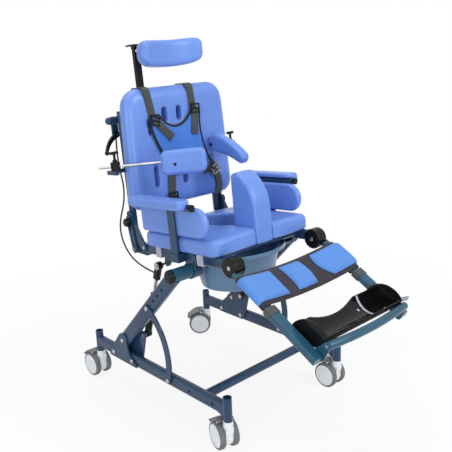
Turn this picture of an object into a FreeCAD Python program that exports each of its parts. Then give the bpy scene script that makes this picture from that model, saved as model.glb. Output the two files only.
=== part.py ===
import FreeCAD, Part
import os
from math import atan2, cos, degrees, hypot, radians, sin, sqrt, tan

# Tilt-in-space shower commode chair, millimetres, +Z up, sitter faces -Y, sitter's left is +X.
# Pieces are drawn on the left side (+X) and mirrored where the chair is the same on both sides.
Vec = FreeCAD.Vector
X_AXIS = Vec(1, 0, 0)
Z_AXIS = Vec(0, 0, 1)
ORIGIN = Vec(0, 0, 0)

# Clearances
SEAT_GAP = 0.3          # between soft or moving pieces and what carries them
RUN_FIT = 0.05          # radial play of a pin or shaft in its bore

# Base: four posts, two side rails and one front cross bar
TRACK = 475.0           # left to right between post axes
WHEELBASE = 622.0       # front to rear between post axes
POST_D = 25.0
POST_WALL = 2.5
POST_BOTTOM = 94.0
POST_TOP = 165.0
SOCKET_DEPTH = 40.0     # turned socket in the post's foot for the castor stem
RAIL_WIDTH = 22.0
RAIL_HEIGHT = 38.0
RAIL_CORNER = 8.0
RAIL_Z = 129.0
RAIL_HOLE_R = 4.5       # accessory holes through the side rails
RAIL_HOLE_Y = -212.0
RAIL_HOLE_SPACING = 98.0
CROSS_BAR_D = 27.0
CROSS_BAR_WALL = 2.5
CROSS_BAR_Y = -212.0
GUSSET_LENGTH = 36.0
GUSSET_DROP = 13.0
GUSSET_THICK = 6.0

# Castors
WHEEL_D = 80.0
WHEEL_WIDTH = 17.0
TYRE_THICK = 6.5
TRAIL = 27.0            # stem axis to axle
FORK_WIDTH = 23.0
FORK_DISC_R = 33.0
STEM_D = 11.0
AXLE_D = 8.0
COLLAR_D = 28.0
COLLAR_HEIGHT = 20.0
PEDAL_WIDTH = 50.0
PEDAL_INNER_R = 44.6     # hood over the wheels, about the axle
PEDAL_OUTER_R = 49.0
PEDAL_TURNS = (30.0, 78.0, 96.0)    # tip, middle and knuckle end of the hood, degrees about the axle
PEDAL_PIN_R = 2.5
PEDAL_KNUCKLE_R = 5.0
PEDAL_LUG = 6.0
SWIVEL = {"front_left": 0.0, "front_right": -16.0, "rear_left": 47.0, "rear_right": 0.0}

# Lift arms, their brackets on the rails and the curved braces
ARM_FOOT = (151.0, 185.0)       # (y, z) of the arm's foot bolt
TILT_AXIS = (-114.0, 463.0)     # (y, z) of the tilt axis at the arms' tops
ARM_ACROSS = 45.0
ARM_CORNER = 8.0
ARM_OVERSHOOT = 20.0
ARM_HOLE_R = 4.5
ARM_HOLES = (248.0, 280.0, 312.0)   # height holes, measured along the arm from the foot bolt
BRACE_TOP_AT = 206.0
BRACE_MID = (-58.0, 262.0)
BRACE_FOOT_Y = -72.0
BRACE_WIDTH = 22.0
PLATE = 5.0
GAS_FOOT = (79.0, 217.0)        # (y, z) of the gas springs' lower pins
GAS_X = 205.0
HUB_D = 40.0
HUB_INNER_X = 150.0
HUB_OUTER_X = 250.0
PLUG = 6.0
BOLT_R = 4.0
BOLT_HEAD_R = 7.0
BOLT_HEAD = 4.0

# Seat unit: drawn level about the tilt axis as (x, u, w), u to the rear and w up, then tilted
SEAT_TILT = 5.0
SEAT_RAIL_X = 170.0
SEAT_RAIL_WIDTH = 20.0
SEAT_RAIL_LOW = 24.0
SEAT_RAIL_HEIGHT = 29.0
SEAT_RAIL_FRONT = -150.0
SEAT_RAIL_REAR = 262.0
SEAT_WIDTH = 388.0
SEAT_FRONT = -130.0
SEAT_REAR = 190.0
SEAT_THICK = 52.0
SEAT_CORNER = 28.0
SEAT_CROWN = 7.0
OPENING_R = 75.0
OPENING_U = 75.0
POMMEL_WIDTH = 68.0
POMMEL_REAR = -36.0
POMMEL_TOP = 258.0
HANGER_WALL = 3.6
HANGER_PLATE = 4.5
CROSS_TUBE_D = 17.0
CROSS_TUBE_W = 43.0
FRONT_TUBE_U = -100.0
REAR_TUBE_U = 225.0
RUNNER_LEDGE = 24.0
RUNNER_THICK = 3.0
GAS_PIN = (114.0, 4.0)          # (u, w) of the gas springs' upper pins
CLIP_US = (-50.0, 136.0)
CLIP_LENGTH = 24.0
CLIP_THICK = 3.5

# Commode pan
PAN_U = 2.0
PAN_TOP_R = 131.0
PAN_BOTTOM_R = 111.0
PAN_FLANGE_R = 150.0
PAN_LIP = 8.0
PAN_DEPTH = 106.0
PAN_WALL = 3.0

# Armrests
ARM_POST_U = 32.0
ARM_POST_WIDTH = 30.0
ARM_POST_THICK = 6.0
ARM_POST_X = 198.0              # inner face of the flat upright
ARM_SOCKET_WALL = 3.0
ARM_TUBE_D = 20.0
ARM_TUBE_W = 190.0
ARM_TUBE_FRONT = -64.0
ARM_TUBE_REAR = 165.0
ARM_CAP = 8.0
ARM_PAD_X = 220.0
ARM_PAD_WIDTH = 48.0
ARM_PAD_THICK = 26.0
ARM_PAD_FRONT = -58.0
ARM_PAD_REAR = 176.0
ARM_PAD_SKIRT = 13.0            # how far the pad reaches down beside the tube
PANEL_THICK = 21.0
PANEL_FRONT = -106.0
PANEL_REAR = 184.0
PANEL_LOW = 101.5
PANEL_TOP = 186.0

# Backrest
BACK_HINGE = (207.0, 42.0)
BACK_POST_X = 170.0
BACK_POST_U = 262.0
BACK_POST_D = 22.0
BACK_POST_LOW = 82.0
BACK_POST_TOP = 452.0
BACK_CROSS_W = 190.0
BACK_FRONT = 196.0
BACK_LOW = 152.0
BACK_TOP = 512.0
BACK_TOP_WIDTH = 380.0
BACK_LOW_WIDTH = 406.0
BACK_CORNER = 42.0
BACK_FRONT_ROUND = 18.0
BACK_REAR_ROUND = 6.0
SLOT_WIDTH = 20.0
SLOTS = ((0.0, 430.0, 50.0), (56.0, 430.0, 50.0), (-56.0, 430.0, 50.0), (-116.0, 400.0, 54.0),
         (112.0, 246.0, 74.0), (-112.0, 246.0, 74.0), (0.0, 222.0, 34.0))   # (x, w, height)
STRUT_FOOT = (248.0, 33.0)
STRUT_STUD = (262.0, 118.0)
STRUT_WIDTH = 24.0
STRUT_THICK = 4.0
STUD_PLAY = 0.9
KNOB_R = 13.0
KNOB_LENGTH = 14.0
PUSH_BAR_D = 25.0
PUSH_BAR_W = 426.0
PUSH_BAR_HALF = 198.0
PUSH_END_R = PUSH_BAR_D / 2 - 1.0      # free ends that take a clamp
LEVER_X = -176.0
LEVER_EAR = 22.0                # width of the ear that carries the lever
LEVER_DROP = 42.0               # lever pivot below the push bar
LEVER_W = PUSH_BAR_W - LEVER_DROP
LEVER_THICK = 9.0

# Headrest
HEAD_POST_X = -55.0
HEAD_POST_WIDTH = 22.0
HEAD_POST_THICK = 12.0
HEAD_POST_LOW = 300.0
HOLDER_WALL = 8.0
HOLDER_HEIGHT = 44.0
HEAD_HINGE_W = 636.0
HEAD_POST_TOP = HEAD_HINGE_W - 14.0
HEAD_PAD_U = 202.0
HEAD_PAD_W = HEAD_HINGE_W - 27.0
HEAD_PAD_R = 230.0
HEAD_PAD_WIDTH = 246.0
HEAD_PAD_HEIGHT = 84.0
HEAD_PAD_THICK = 44.0

# Lateral trunk supports
LATERAL = (233.0, 228.0, 297.0)     # block centre (x, u, w)
LATERAL_ANGLE = 43.4                # rod's turn from X towards the front
ROD_D = 8.0
ROD_OUT = 50.0
ROD_IN = {"left": 124.0, "right": 222.0}
BLOCK_R = 14.0
BLOCK_HEIGHT = 26.0
LATERAL_PAD = (150.0, 34.0, 94.0)   # length, thickness, height
LATERAL_PAD_SLOPE = 22.0            # left pad's forward slope
TAPER_PAD = (128.0, 60.0, 36.0)     # left pad between its round ends: length, rear height, front height
TAPER_PAD_BOW = 7.0
TAPER_PAD_AHEAD = 30.0              # left pad's middle ahead of the rod's end
LATERAL_PAD_BACK = 20.0             # right pad's middle back along the rod
ROD_BOSS_R = 7.5

# Chest harness
VEST_X = -20.0
VEST_THICK = 4.0
VEST_TOP = 428.0
VEST_LOW = 244.0
VEST_SHOULDER = 95.0            # half widths at the shoulders, waist, hem and neck
VEST_WAIST = 82.0
VEST_HEM = 88.0
VEST_NECK = 61.0
VEST_SCOOP = 37.0               # depth of the neck
VEST_SWING = 42.0               # the hem hangs this far to the sitter's left
STRAP_WIDTH = 26.0
STRAP_THICK = 3.0
STRAP_XS = (-108.0, 52.0)
STRAP_LOW = 404.0
STRAP_TAIL = 464.0
HIP_STRAP_LOW = 158.0
HIP_STRAP_LAP = 8.0             # how far the hip straps reach up behind the vest
HIP_STRAP_INSET = 14.0          # from the hem's corners
HIP_STRAP_FEET = (126.0, -66.0)
BUCKLE = (34.0, 42.0, 8.0)      # wide, high, thick
BUCKLE_CORNER = 5.0

# Legrest: drawn straight out from the knee axis as (x, -s, n), then dropped
KNEE_X = 168.0
KNEE = (-169.5, 32.4)           # (u, w)
KNEE_R = 30.0
KNEE_HALF = 18.0
LEG_DROP = 29.0                 # below level in the photographed pose
LEG_X = 182.0
LEG_TUBE = (26.0, 14.0)         # upper tube, wide and thick
LEG_CORNER = 4.0
LEG_SLEEVE = (32.0, 20.0)       # lower tube that slides over it
LEG_SLEEVE_START = 170.0
LEG_UPPER_END = 268.0
LEG_END = 340.0
COLLAR_LENGTH = 24.0
COLLAR_WALL = 2.0
SLING_START = 44.0
SLING_END = 150.0
SLING_SAG = 16.0
SLING_THICK = 4.0
CALF_PAD_THICK = 12.0
CALF_PADS = ((-196.0, -74.0), (-40.0, 36.0), (78.0, 196.0))

# Footrest: in the chair's frame at the photographed pose
FOOT_PIVOT = (-590.0, 382.0)    # (y, z)
FOOT_TUBE_D = 22.0
FOOT_TUBE_BOW = 13.0
FOOT_HALF = 160.0
GUTTER_R = 62.0
GUTTER_WALL = 4.0
GUTTER_RIM_ANGLE = 23.5
GUTTER_DIP = 16.0               # shallow dip in the middle of the heel wall
GUTTER_SEAT_ANGLE = 35.0

# Gas springs
GAS_BODY_R = 11.0
GAS_BODY_LENGTH = 152.0
GAS_ROD_R = 5.0
GAS_EYE_WIDTH = 15.0
GAS_PIN_R = 4.0
GAS_PIN_PLAY = 3.2              # open pivot: play of the upper pin in the release head
WASHER_R = 11.0
WASHER = 1.2

# Tilt release cable
CABLE_D = 5.0
CABLE_ROUTE = ((LEVER_X, 292.8, LEVER_W - 11.8), (LEVER_X, 299, LEVER_W - 57), (-172, 300, 274),
               (-174, 287, 222), (-186, 281, 174),
               (-199, 292, 128), (-205, 293, 84), (-205, 275, 37), (-205, 236, 4), (-205, 182, -14),
               (-205, 136.9, -20.8))

NODES = {}


def keep(name, *shapes):
    """Store the solids of one node."""
    solids = []
    for shape in shapes:
        solids += shape.Solids
    NODES[name] = Part.Compound(solids)


def mirrored(shape):
    return shape.mirror(ORIGIN, X_AXIS)


def both(shape):
    return [shape, mirrored(shape)]


def fused(*shapes):
    joined = shapes[0].multiFuse(list(shapes[1:]))
    return joined.removeSplitter()


def rod(start, end, radius):
    return Part.makeCylinder(radius, (end - start).Length, start, end - start)


def cross_pin(x_from, x_to, spot, radius):
    """Round pin along X at spot = (y, z)."""
    return rod(Vec(x_from, *spot), Vec(x_to, *spot), radius)


def box(x, y, z):
    """Box between pairs of limits."""
    return Part.makeBox(x[1] - x[0], y[1] - y[0], z[1] - z[0], Vec(x[0], y[0], z[0]))


def edges_along(shape, axis):
    return [edge for edge in shape.Edges
            if abs(edge.tangentAt(edge.FirstParameter).dot(axis)) > 0.99]


def rounded_box(x, y, z, radius, axis):
    block = box(x, y, z)
    return block.makeFillet(radius, edges_along(block, axis))


def beam(start, end, x_limits, across, corner):
    """Bar with rounded long edges from start to end, both (y, z)."""
    length = hypot(end[0] - start[0], end[1] - start[1])
    bar = rounded_box(x_limits, (0, length), (-across / 2, across / 2), corner, Vec(0, 1, 0))
    bar.rotate(ORIGIN, X_AXIS, degrees(atan2(end[1] - start[1], end[0] - start[0])))
    bar.translate(Vec(0, *start))
    return bar


def wire(start, *steps, place=lambda a, b: Vec(0, a, b)):
    """Closed outline: each step is a corner, or (point on the arc, corner)."""
    edges = []
    here = start
    for step in steps + (start,):
        if isinstance(step[0], tuple):
            through, there = step
            edges.append(Part.Arc(place(*here), place(*through), place(*there)).toShape())
        elif step != here:
            there = step
            edges.append(Part.LineSegment(place(*here), place(*there)).toShape())
        here = there
    return Part.Wire(edges)


def on_front(a, b):
    """Outline in the X-Z plane."""
    return Vec(a, 0, b)


def on_top(a, b):
    """Outline in the X-Y plane."""
    return Vec(a, b, 0)


def slab(outline, sweep, shift=ORIGIN):
    solid = Part.Face(outline).extrude(sweep)
    solid.translate(shift)
    return solid


def side_plate(outline, x_from, x_to):
    return slab(outline, Vec(x_to - x_from, 0, 0), Vec(x_from, 0, 0))


def rounded_plate(corners, radius, x_from, x_to):
    """Plate in the Y-Z plane with a round of the given radius about every corner."""
    polygon = Part.Wire(Part.makePolygon([Vec(0, *spot) for spot in corners + corners[:1]]))
    outline = Part.Face(polygon).makeOffset2D(radius)
    return slab(outline.OuterWire, Vec(x_to - x_from, 0, 0), Vec(x_from, 0, 0))


def link_plate(start, end, width, x_from, x_to):
    """Straight link with round ends."""
    length = hypot(end[0] - start[0], end[1] - start[1])
    half = width / 2
    outline = wire((0, -half), (length, -half), ((length + half, 0), (length, half)), (0, half),
                   ((-half, 0), (0, -half)))
    link = side_plate(outline, x_from, x_to)
    link.rotate(ORIGIN, X_AXIS, degrees(atan2(end[1] - start[1], end[0] - start[0])))
    link.translate(Vec(0, *start))
    return link


def along(start, end, distance):
    """Point at a distance from start towards end."""
    length = hypot(end[0] - start[0], end[1] - start[1])
    return tuple(a + (b - a) * distance / length for a, b in zip(start, end))


def seat(shape):
    """Put a piece of the seat unit at its place on the tilt axis."""
    placed = shape.copy()
    placed.rotate(ORIGIN, X_AXIS, -SEAT_TILT)
    placed.translate(Vec(0, *TILT_AXIS))
    return placed


def seat_point(x, u, w):
    turn = radians(SEAT_TILT)
    return Vec(x, TILT_AXIS[0] + u * cos(turn) + w * sin(turn),
               TILT_AXIS[1] - u * sin(turn) + w * cos(turn))


KNEE_POINT = seat_point(0, *KNEE)


def leg(shape):
    """Put a piece of the straight legrest at the knee and drop it."""
    placed = shape.copy()
    placed.rotate(ORIGIN, X_AXIS, LEG_DROP)
    placed.translate(KNEE_POINT)
    return placed


def leg_frame_point(spot):
    """(s, n) of a chair point (y, z) in the straight legrest."""
    turn = radians(LEG_DROP)
    dy = spot[0] - KNEE_POINT.y
    dz = spot[1] - KNEE_POINT.z
    return (-dy * cos(turn) - dz * sin(turn), -dy * sin(turn) + dz * cos(turn))


# Base frame
RAIL_X = TRACK / 2
RAIL_IN = RAIL_X - RAIL_WIDTH / 2
RAIL_OUT = RAIL_X + RAIL_WIDTH / 2
POSTS = {"front_left": (RAIL_X, -WHEELBASE / 2), "front_right": (-RAIL_X, -WHEELBASE / 2),
         "rear_left": (RAIL_X, WHEELBASE / 2), "rear_right": (-RAIL_X, WHEELBASE / 2)}


def post(x, y):
    tube = rod(Vec(x, y, POST_BOTTOM), Vec(x, y, POST_TOP), POST_D / 2)
    socket_top = POST_BOTTOM + SOCKET_DEPTH
    hollow = rod(Vec(x, y, socket_top + PLUG), Vec(x, y, POST_TOP + 1), POST_D / 2 - POST_WALL)
    socket = rod(Vec(x, y, POST_BOTTOM - 1), Vec(x, y, socket_top), STEM_D / 2 + RUN_FIT)
    return tube.cut(hollow).cut(socket)


def base_rail():
    half = WHEELBASE / 2
    rail = beam((-half, RAIL_Z), (half, RAIL_Z), (RAIL_IN, RAIL_OUT), RAIL_HEIGHT, RAIL_CORNER)
    low = RAIL_Z - RAIL_HEIGHT / 2
    tip = -half + POST_D / 2 + GUSSET_LENGTH
    web = wire((-half, low + 1), (-half, low - GUSSET_DROP),
               ((-half + 0.62 * (tip + half), low - 0.5 * GUSSET_DROP), (tip, low + 1)))
    gusset = side_plate(web, RAIL_X - GUSSET_THICK / 2, RAIL_X + GUSSET_THICK / 2)
    rail = fused(rail, gusset)
    for end in (-half, half):
        rail = rail.cut(rod(Vec(RAIL_X, end, 0), Vec(RAIL_X, end, 2 * RAIL_Z), POST_D / 2))
    for side in (-0.5, 0.5):
        spot = (RAIL_HOLE_Y + side * RAIL_HOLE_SPACING, RAIL_Z)
        rail = rail.cut(cross_pin(RAIL_IN - 1, RAIL_OUT + 1, spot, RAIL_HOLE_R))
    return bolt_holes(rail, BRACKET_BOLTS + (BRACE_FOOT,), BOLT_R)


def cross_bar():
    spot = (CROSS_BAR_Y, RAIL_Z)
    outer = cross_pin(-RAIL_IN, RAIL_IN, spot, CROSS_BAR_D / 2)
    return outer.cut(cross_pin(-RAIL_IN, RAIL_IN, spot, CROSS_BAR_D / 2 - CROSS_BAR_WALL))


def bolt_holes(shape, spots, radius):
    for spot in spots:
        shape = shape.cut(cross_pin(RAIL_IN - 2 * PLATE, RAIL_OUT + 2 * PLATE, spot, radius))
    return shape


BRACKET_BOLTS = ((ARM_FOOT[0] + 55, RAIL_Z), (ARM_FOOT[0] - 43, RAIL_Z))


def outer_bracket():
    y, z = ARM_FOOT
    low = RAIL_Z - RAIL_HEIGHT / 2 + 2
    outline = wire((y + 77, low), (y - 65, low), (y - 65, low + 10), ((y - 30, z - 36), (y - 22, z + 6)),
                   ((y - 3, z + 24), (y + 20, z + 13)), (y + 77, low + 14))
    plate = side_plate(outline, RAIL_OUT, RAIL_OUT + PLATE)
    return bolt_holes(plate, (ARM_FOOT,) + BRACKET_BOLTS, BOLT_R)


def inner_bracket():
    rear, front = BRACKET_BOLTS
    round_r = RAIL_HEIGHT / 2 - RAIL_CORNER + 3
    corners = [(rear[0] + 8, rear[1]), (front[0] - 6, front[1]), GAS_FOOT, ARM_FOOT]
    plate = rounded_plate(corners, round_r, RAIL_IN - PLATE, RAIL_IN)
    return bolt_holes(plate, (ARM_FOOT, GAS_FOOT) + BRACKET_BOLTS, BOLT_R)


def lift_arm():
    start = along(ARM_FOOT, TILT_AXIS, -ARM_OVERSHOOT)
    arm = beam(start, TILT_AXIS, (RAIL_IN, RAIL_OUT), ARM_ACROSS, ARM_CORNER)
    arm = arm.cut(cross_pin(HUB_INNER_X, RAIL_OUT + PLUG, TILT_AXIS, HUB_D / 2))
    holes = [along(ARM_FOOT, TILT_AXIS, distance) for distance in ARM_HOLES]
    arm = bolt_holes(arm, holes, ARM_HOLE_R)
    return bolt_holes(arm, (ARM_FOOT, BRACE_TOP), BOLT_R)


def arm_plug():
    start = along(ARM_FOOT, TILT_AXIS, -ARM_OVERSHOOT - PLUG)
    return beam(start, along(ARM_FOOT, TILT_AXIS, -ARM_OVERSHOOT), (RAIL_IN, RAIL_OUT), ARM_ACROSS,
                ARM_CORNER)


BRACE_TOP = along(ARM_FOOT, TILT_AXIS, BRACE_TOP_AT)
BRACE_FOOT = (BRACE_FOOT_Y, RAIL_Z)


def circle_centre(a, b, c):
    """Centre of the circle through three points of a plane."""
    d = 2 * (a[0] * (b[1] - c[1]) + b[0] * (c[1] - a[1]) + c[0] * (a[1] - b[1]))
    squares = [spot[0] ** 2 + spot[1] ** 2 for spot in (a, b, c)]
    y = (squares[0] * (b[1] - c[1]) + squares[1] * (c[1] - a[1]) + squares[2] * (a[1] - b[1])) / d
    z = (squares[0] * (c[0] - b[0]) + squares[1] * (a[0] - c[0]) + squares[2] * (b[0] - a[0])) / d
    return (y, z)


def brace():
    """Curved flat bar from the arm to the rail, bulging forward."""
    centre = circle_centre(BRACE_TOP, BRACE_MID, BRACE_FOOT)
    radius = hypot(BRACE_MID[0] - centre[0], BRACE_MID[1] - centre[1])
    half = BRACE_WIDTH / 2

    def offset(spot, step):
        return along(centre, spot, radius + step)

    def past(spot, other):
        """End of the bar's round nose beyond a bolt."""
        away = (spot[0] - centre[0], spot[1] - centre[1])
        side = 1 if away[0] * (other[1] - centre[1]) - away[1] * (other[0] - centre[0]) < 0 else -1
        return (spot[0] - side * away[1] * half / radius, spot[1] + side * away[0] * half / radius)

    outline = wire(offset(BRACE_TOP, half), (offset(BRACE_MID, half), offset(BRACE_FOOT, half)),
                   (past(BRACE_FOOT, BRACE_TOP), offset(BRACE_FOOT, -half)),
                   (offset(BRACE_MID, -half), offset(BRACE_TOP, -half)),
                   (past(BRACE_TOP, BRACE_FOOT), offset(BRACE_TOP, half)))
    return bolt_holes(side_plate(outline, RAIL_OUT, RAIL_OUT + PLATE), (BRACE_TOP, BRACE_FOOT), BOLT_R)


def hub():
    return cross_pin(HUB_INNER_X, HUB_OUTER_X, TILT_AXIS, HUB_D / 2)


def hub_cap():
    cap = cross_pin(HUB_OUTER_X, HUB_OUTER_X + 2 * PLUG, TILT_AXIS, HUB_D / 2 + 1)
    rim = [edge for edge in cap.Edges if edge.BoundBox.XMin > HUB_OUTER_X + PLUG]
    return cap.makeFillet(PLUG + 2, rim)


def bolt(spot, inner=RAIL_IN - PLATE, outer=RAIL_OUT + PLATE):
    """Through bolt with a dome head at each end."""
    heads = []
    for start, end in ((outer, outer + BOLT_HEAD), (inner - BOLT_HEAD, inner)):
        head = cross_pin(start, end, spot, BOLT_HEAD_R)
        far = [edge for edge in head.Edges
               if abs(edge.BoundBox.Center.x - (inner + outer) / 2) > (outer - inner) / 2 + BOLT_HEAD / 2]
        heads.append(head.makeFillet(BOLT_HEAD * 0.6, far))
    return fused(cross_pin(inner, outer, spot, BOLT_R), *heads)


def gas_foot_pin():
    tip = GAS_X - GAS_EYE_WIDTH / 2 - 1
    return fused(cross_pin(tip, RAIL_IN, GAS_FOOT, GAS_PIN_R),
                 cross_pin(tip - BOLT_HEAD, tip, GAS_FOOT, BOLT_HEAD_R),
                 cross_pin(GAS_X + GAS_EYE_WIDTH / 2 + 1, RAIL_IN - PLATE, GAS_FOOT, BOLT_HEAD_R))


def make_base():
    keep("base_rails", *both(base_rail()), cross_bar())
    keep("corner_posts", *[post(*spot) for spot in POSTS.values()])
    keep("arm_brackets", *both(outer_bracket()), *both(inner_bracket()))
    keep("lift_arms", *both(lift_arm()))
    keep("arm_braces", *both(brace()))
    keep("tilt_hubs", *both(hub()))
    keep("tube_plugs", *both(hub_cap()), *both(arm_plug()))
    bolts = [bolt(ARM_FOOT), bolt(BRACE_TOP, RAIL_IN), bolt(BRACE_FOOT, RAIL_IN), gas_foot_pin()]
    bolts += [bolt(spot) for spot in BRACKET_BOLTS]
    keep("base_bolts", *[side for piece in bolts for side in both(piece)])


# Castors, drawn at the origin with the wheels trailing to +Y
AXLE = (TRAIL, WHEEL_D / 2)
WHEEL_IN = FORK_WIDTH / 2 + 0.7


def castor_fork():
    """Housing between the wheels: a disc about the axle that runs up into the swivel collar."""
    half = FORK_WIDTH / 2
    neck_z = POST_BOTTOM - COLLAR_HEIGHT + 2
    neck = COLLAR_D / 2 - 2
    hood = radians(50)
    nose = radians(170)

    def rim(turn):
        return (AXLE[0] + FORK_DISC_R * cos(turn), AXLE[1] + FORK_DISC_R * sin(turn))

    outline = wire((-neck, neck_z), (neck, neck_z), ((AXLE[0] + 5, neck_z - 4), rim(hood)),
                   (rim(radians(-90)), rim(nose)))
    body = side_plate(outline, -half, half)
    collar = rod(Vec(0, 0, POST_BOTTOM - COLLAR_HEIGHT), Vec(0, 0, POST_BOTTOM - SEAT_GAP), COLLAR_D / 2)
    stem = rod(Vec(0, 0, POST_BOTTOM - COLLAR_HEIGHT), Vec(0, 0, POST_BOTTOM + SOCKET_DEPTH - 2),
               STEM_D / 2)
    lug = rounded_plate([PEDAL_PIVOT, (PEDAL_PIVOT[0], neck_z - 2 * PEDAL_PIN_R),
                         (0, neck_z - 2 * PEDAL_PIN_R)],
                        PEDAL_KNUCKLE_R - 1, -PEDAL_LUG / 2, PEDAL_LUG / 2)
    pin = cross_pin(-PEDAL_WIDTH / 2, PEDAL_WIDTH / 2, PEDAL_PIVOT, PEDAL_PIN_R)
    fork = fused(body, collar, stem, lug, pin)
    return fork.cut(cross_pin(-FORK_WIDTH, FORK_WIDTH, AXLE, AXLE_D / 2 + RUN_FIT))


def castor_tyre():
    """One tyre with a rounded tread."""
    outer = WHEEL_D / 2
    inner = outer - TYRE_THICK
    start = WHEEL_IN
    end = WHEEL_IN + WHEEL_WIDTH
    profile = wire((start, inner), (end, inner), (end, outer - 4),
                   ((end - 1.2, outer - 1.2), (end - 4, outer)),
                   (start + 4, outer), ((start + 1.2, outer - 1.2), (start, outer - 4)), place=on_top)
    ring = Part.Face(profile).revolve(ORIGIN, X_AXIS, 360)
    ring.translate(Vec(0, *AXLE))
    return ring


def castor_hub():
    """Both hub discs on their axle, dished a little on the outside."""
    radius = WHEEL_D / 2 - TYRE_THICK
    end = WHEEL_IN + WHEEL_WIDTH
    profile = wire((0, 0), (end + 1.0, 0), ((end + 0.8, radius / 2), (end - 1.5, radius)),
                   (WHEEL_IN, radius),
                   (WHEEL_IN, AXLE_D / 2), (0, AXLE_D / 2), place=on_top)
    half = Part.Face(profile).revolve(ORIGIN, X_AXIS, 360)
    whole = fused(half, mirrored(half))
    whole.translate(Vec(0, *AXLE))
    return whole


PEDAL_PIVOT = (COLLAR_D / 2 + PEDAL_KNUCKLE_R + 1.5, 85.0)


def about_axle(radius, turn):
    return (AXLE[0] + radius * cos(radians(turn)), AXLE[1] + radius * sin(radians(turn)))


def castor_pedal():
    """Hooded brake pedal that hinges on the pin behind the collar."""
    tip, middle, end = PEDAL_TURNS
    outline = wire(about_axle(PEDAL_INNER_R, end), (about_axle(PEDAL_INNER_R, middle),
                                                    about_axle(PEDAL_INNER_R, tip)),
                   about_axle(PEDAL_OUTER_R + PEDAL_KNUCKLE_R, tip),
                   about_axle(PEDAL_OUTER_R, tip + PEDAL_KNUCKLE_R),
                   (about_axle(PEDAL_OUTER_R, middle), about_axle(PEDAL_OUTER_R, end)))
    half = PEDAL_WIDTH / 2
    hood = side_plate(outline, -half, half)
    knuckle = cross_pin(-half, half, PEDAL_PIVOT, PEDAL_KNUCKLE_R)
    lug_half = PEDAL_LUG / 2 + SEAT_GAP
    lug_reach = 2 * PEDAL_KNUCKLE_R
    lug_room = box((-lug_half, lug_half), (PEDAL_PIVOT[0] - lug_reach, PEDAL_PIVOT[0] + lug_reach),
                   (PEDAL_PIVOT[1] - lug_reach, PEDAL_PIVOT[1] + lug_reach))
    pedal = fused(hood, knuckle).cut(lug_room)
    return pedal.cut(cross_pin(-PEDAL_WIDTH, PEDAL_WIDTH, PEDAL_PIVOT, PEDAL_PIN_R + RUN_FIT))


def make_castors():
    for corner, spot in POSTS.items():
        pieces = {"castor_fork": [castor_fork()], "castor_pedal": [castor_pedal()],
                  "castor_wheels": [castor_tyre(), mirrored(castor_tyre()), castor_hub()]}
        for piece, shapes in pieces.items():
            for shape in shapes:
                shape.rotate(ORIGIN, Z_AXIS, SWIVEL[corner])
                shape.translate(Vec(*spot, 0))
            keep(piece + "_" + corner, *shapes)


# Gas springs: drawn along Y from the lower pin, then turned to the upper pin
GAS_TOP_POINT = seat_point(0, *GAS_PIN)
GAS_TOP = (GAS_TOP_POINT.y, GAS_TOP_POINT.z)
GAS_LENGTH = hypot(GAS_TOP[0] - GAS_FOOT[0], GAS_TOP[1] - GAS_FOOT[1])
GAS_HEAD = 46.0


def turned_spring(shape):
    placed = shape.copy()
    placed.rotate(ORIGIN, X_AXIS, degrees(atan2(GAS_TOP[1] - GAS_FOOT[1], GAS_TOP[0] - GAS_FOOT[0])))
    placed.translate(Vec(GAS_X, *GAS_FOOT))
    return placed


def gas_cylinder():
    half = GAS_EYE_WIDTH / 2
    eye = cross_pin(-half, half, (0, 0), GAS_BODY_R)
    body = rod(Vec(0, GAS_BODY_R - 2, 0), Vec(0, GAS_BODY_LENGTH, 0), GAS_BODY_R)
    whole = fused(eye, body)
    whole = whole.cut(rod(Vec(0, 30, 0), Vec(0, GAS_BODY_LENGTH + 1, 0), GAS_ROD_R + RUN_FIT))
    return turned_spring(whole.cut(cross_pin(-half - 1, half + 1, (0, 0), GAS_PIN_R + RUN_FIT)))


def gas_rod():
    """Rod with the release head on its upper end."""
    half = GAS_EYE_WIDTH / 2
    shaft = rod(Vec(0, GAS_LENGTH - 170, 0), Vec(0, GAS_LENGTH - GAS_HEAD + 5, 0), GAS_ROD_R)
    head = rounded_box((-half, half), (GAS_LENGTH - GAS_HEAD, GAS_LENGTH), (-10, 10), 3.0, Vec(0, 1, 0))
    eye = cross_pin(-half, half, (GAS_LENGTH, 0), 12.0)
    whole = fused(shaft, head, eye)
    return turned_spring(whole.cut(cross_pin(-half - 1, half + 1, (GAS_LENGTH, 0),
                                             GAS_PIN_R + GAS_PIN_PLAY)))


def make_gas_springs():
    keep("gas_cylinders", *both(gas_cylinder()))
    keep("gas_rods", *both(gas_rod()))


# Seat frame
SEAT_RAIL_IN = SEAT_RAIL_X - SEAT_RAIL_WIDTH / 2
SEAT_RAIL_OUT = SEAT_RAIL_X + SEAT_RAIL_WIDTH / 2
SEAT_RAIL_TOP = SEAT_RAIL_LOW + SEAT_RAIL_HEIGHT
CUSHION_LOW = SEAT_RAIL_TOP + SEAT_GAP
CUSHION_TOP = CUSHION_LOW + SEAT_THICK
HINGE_PIN_R = 5.0


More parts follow.
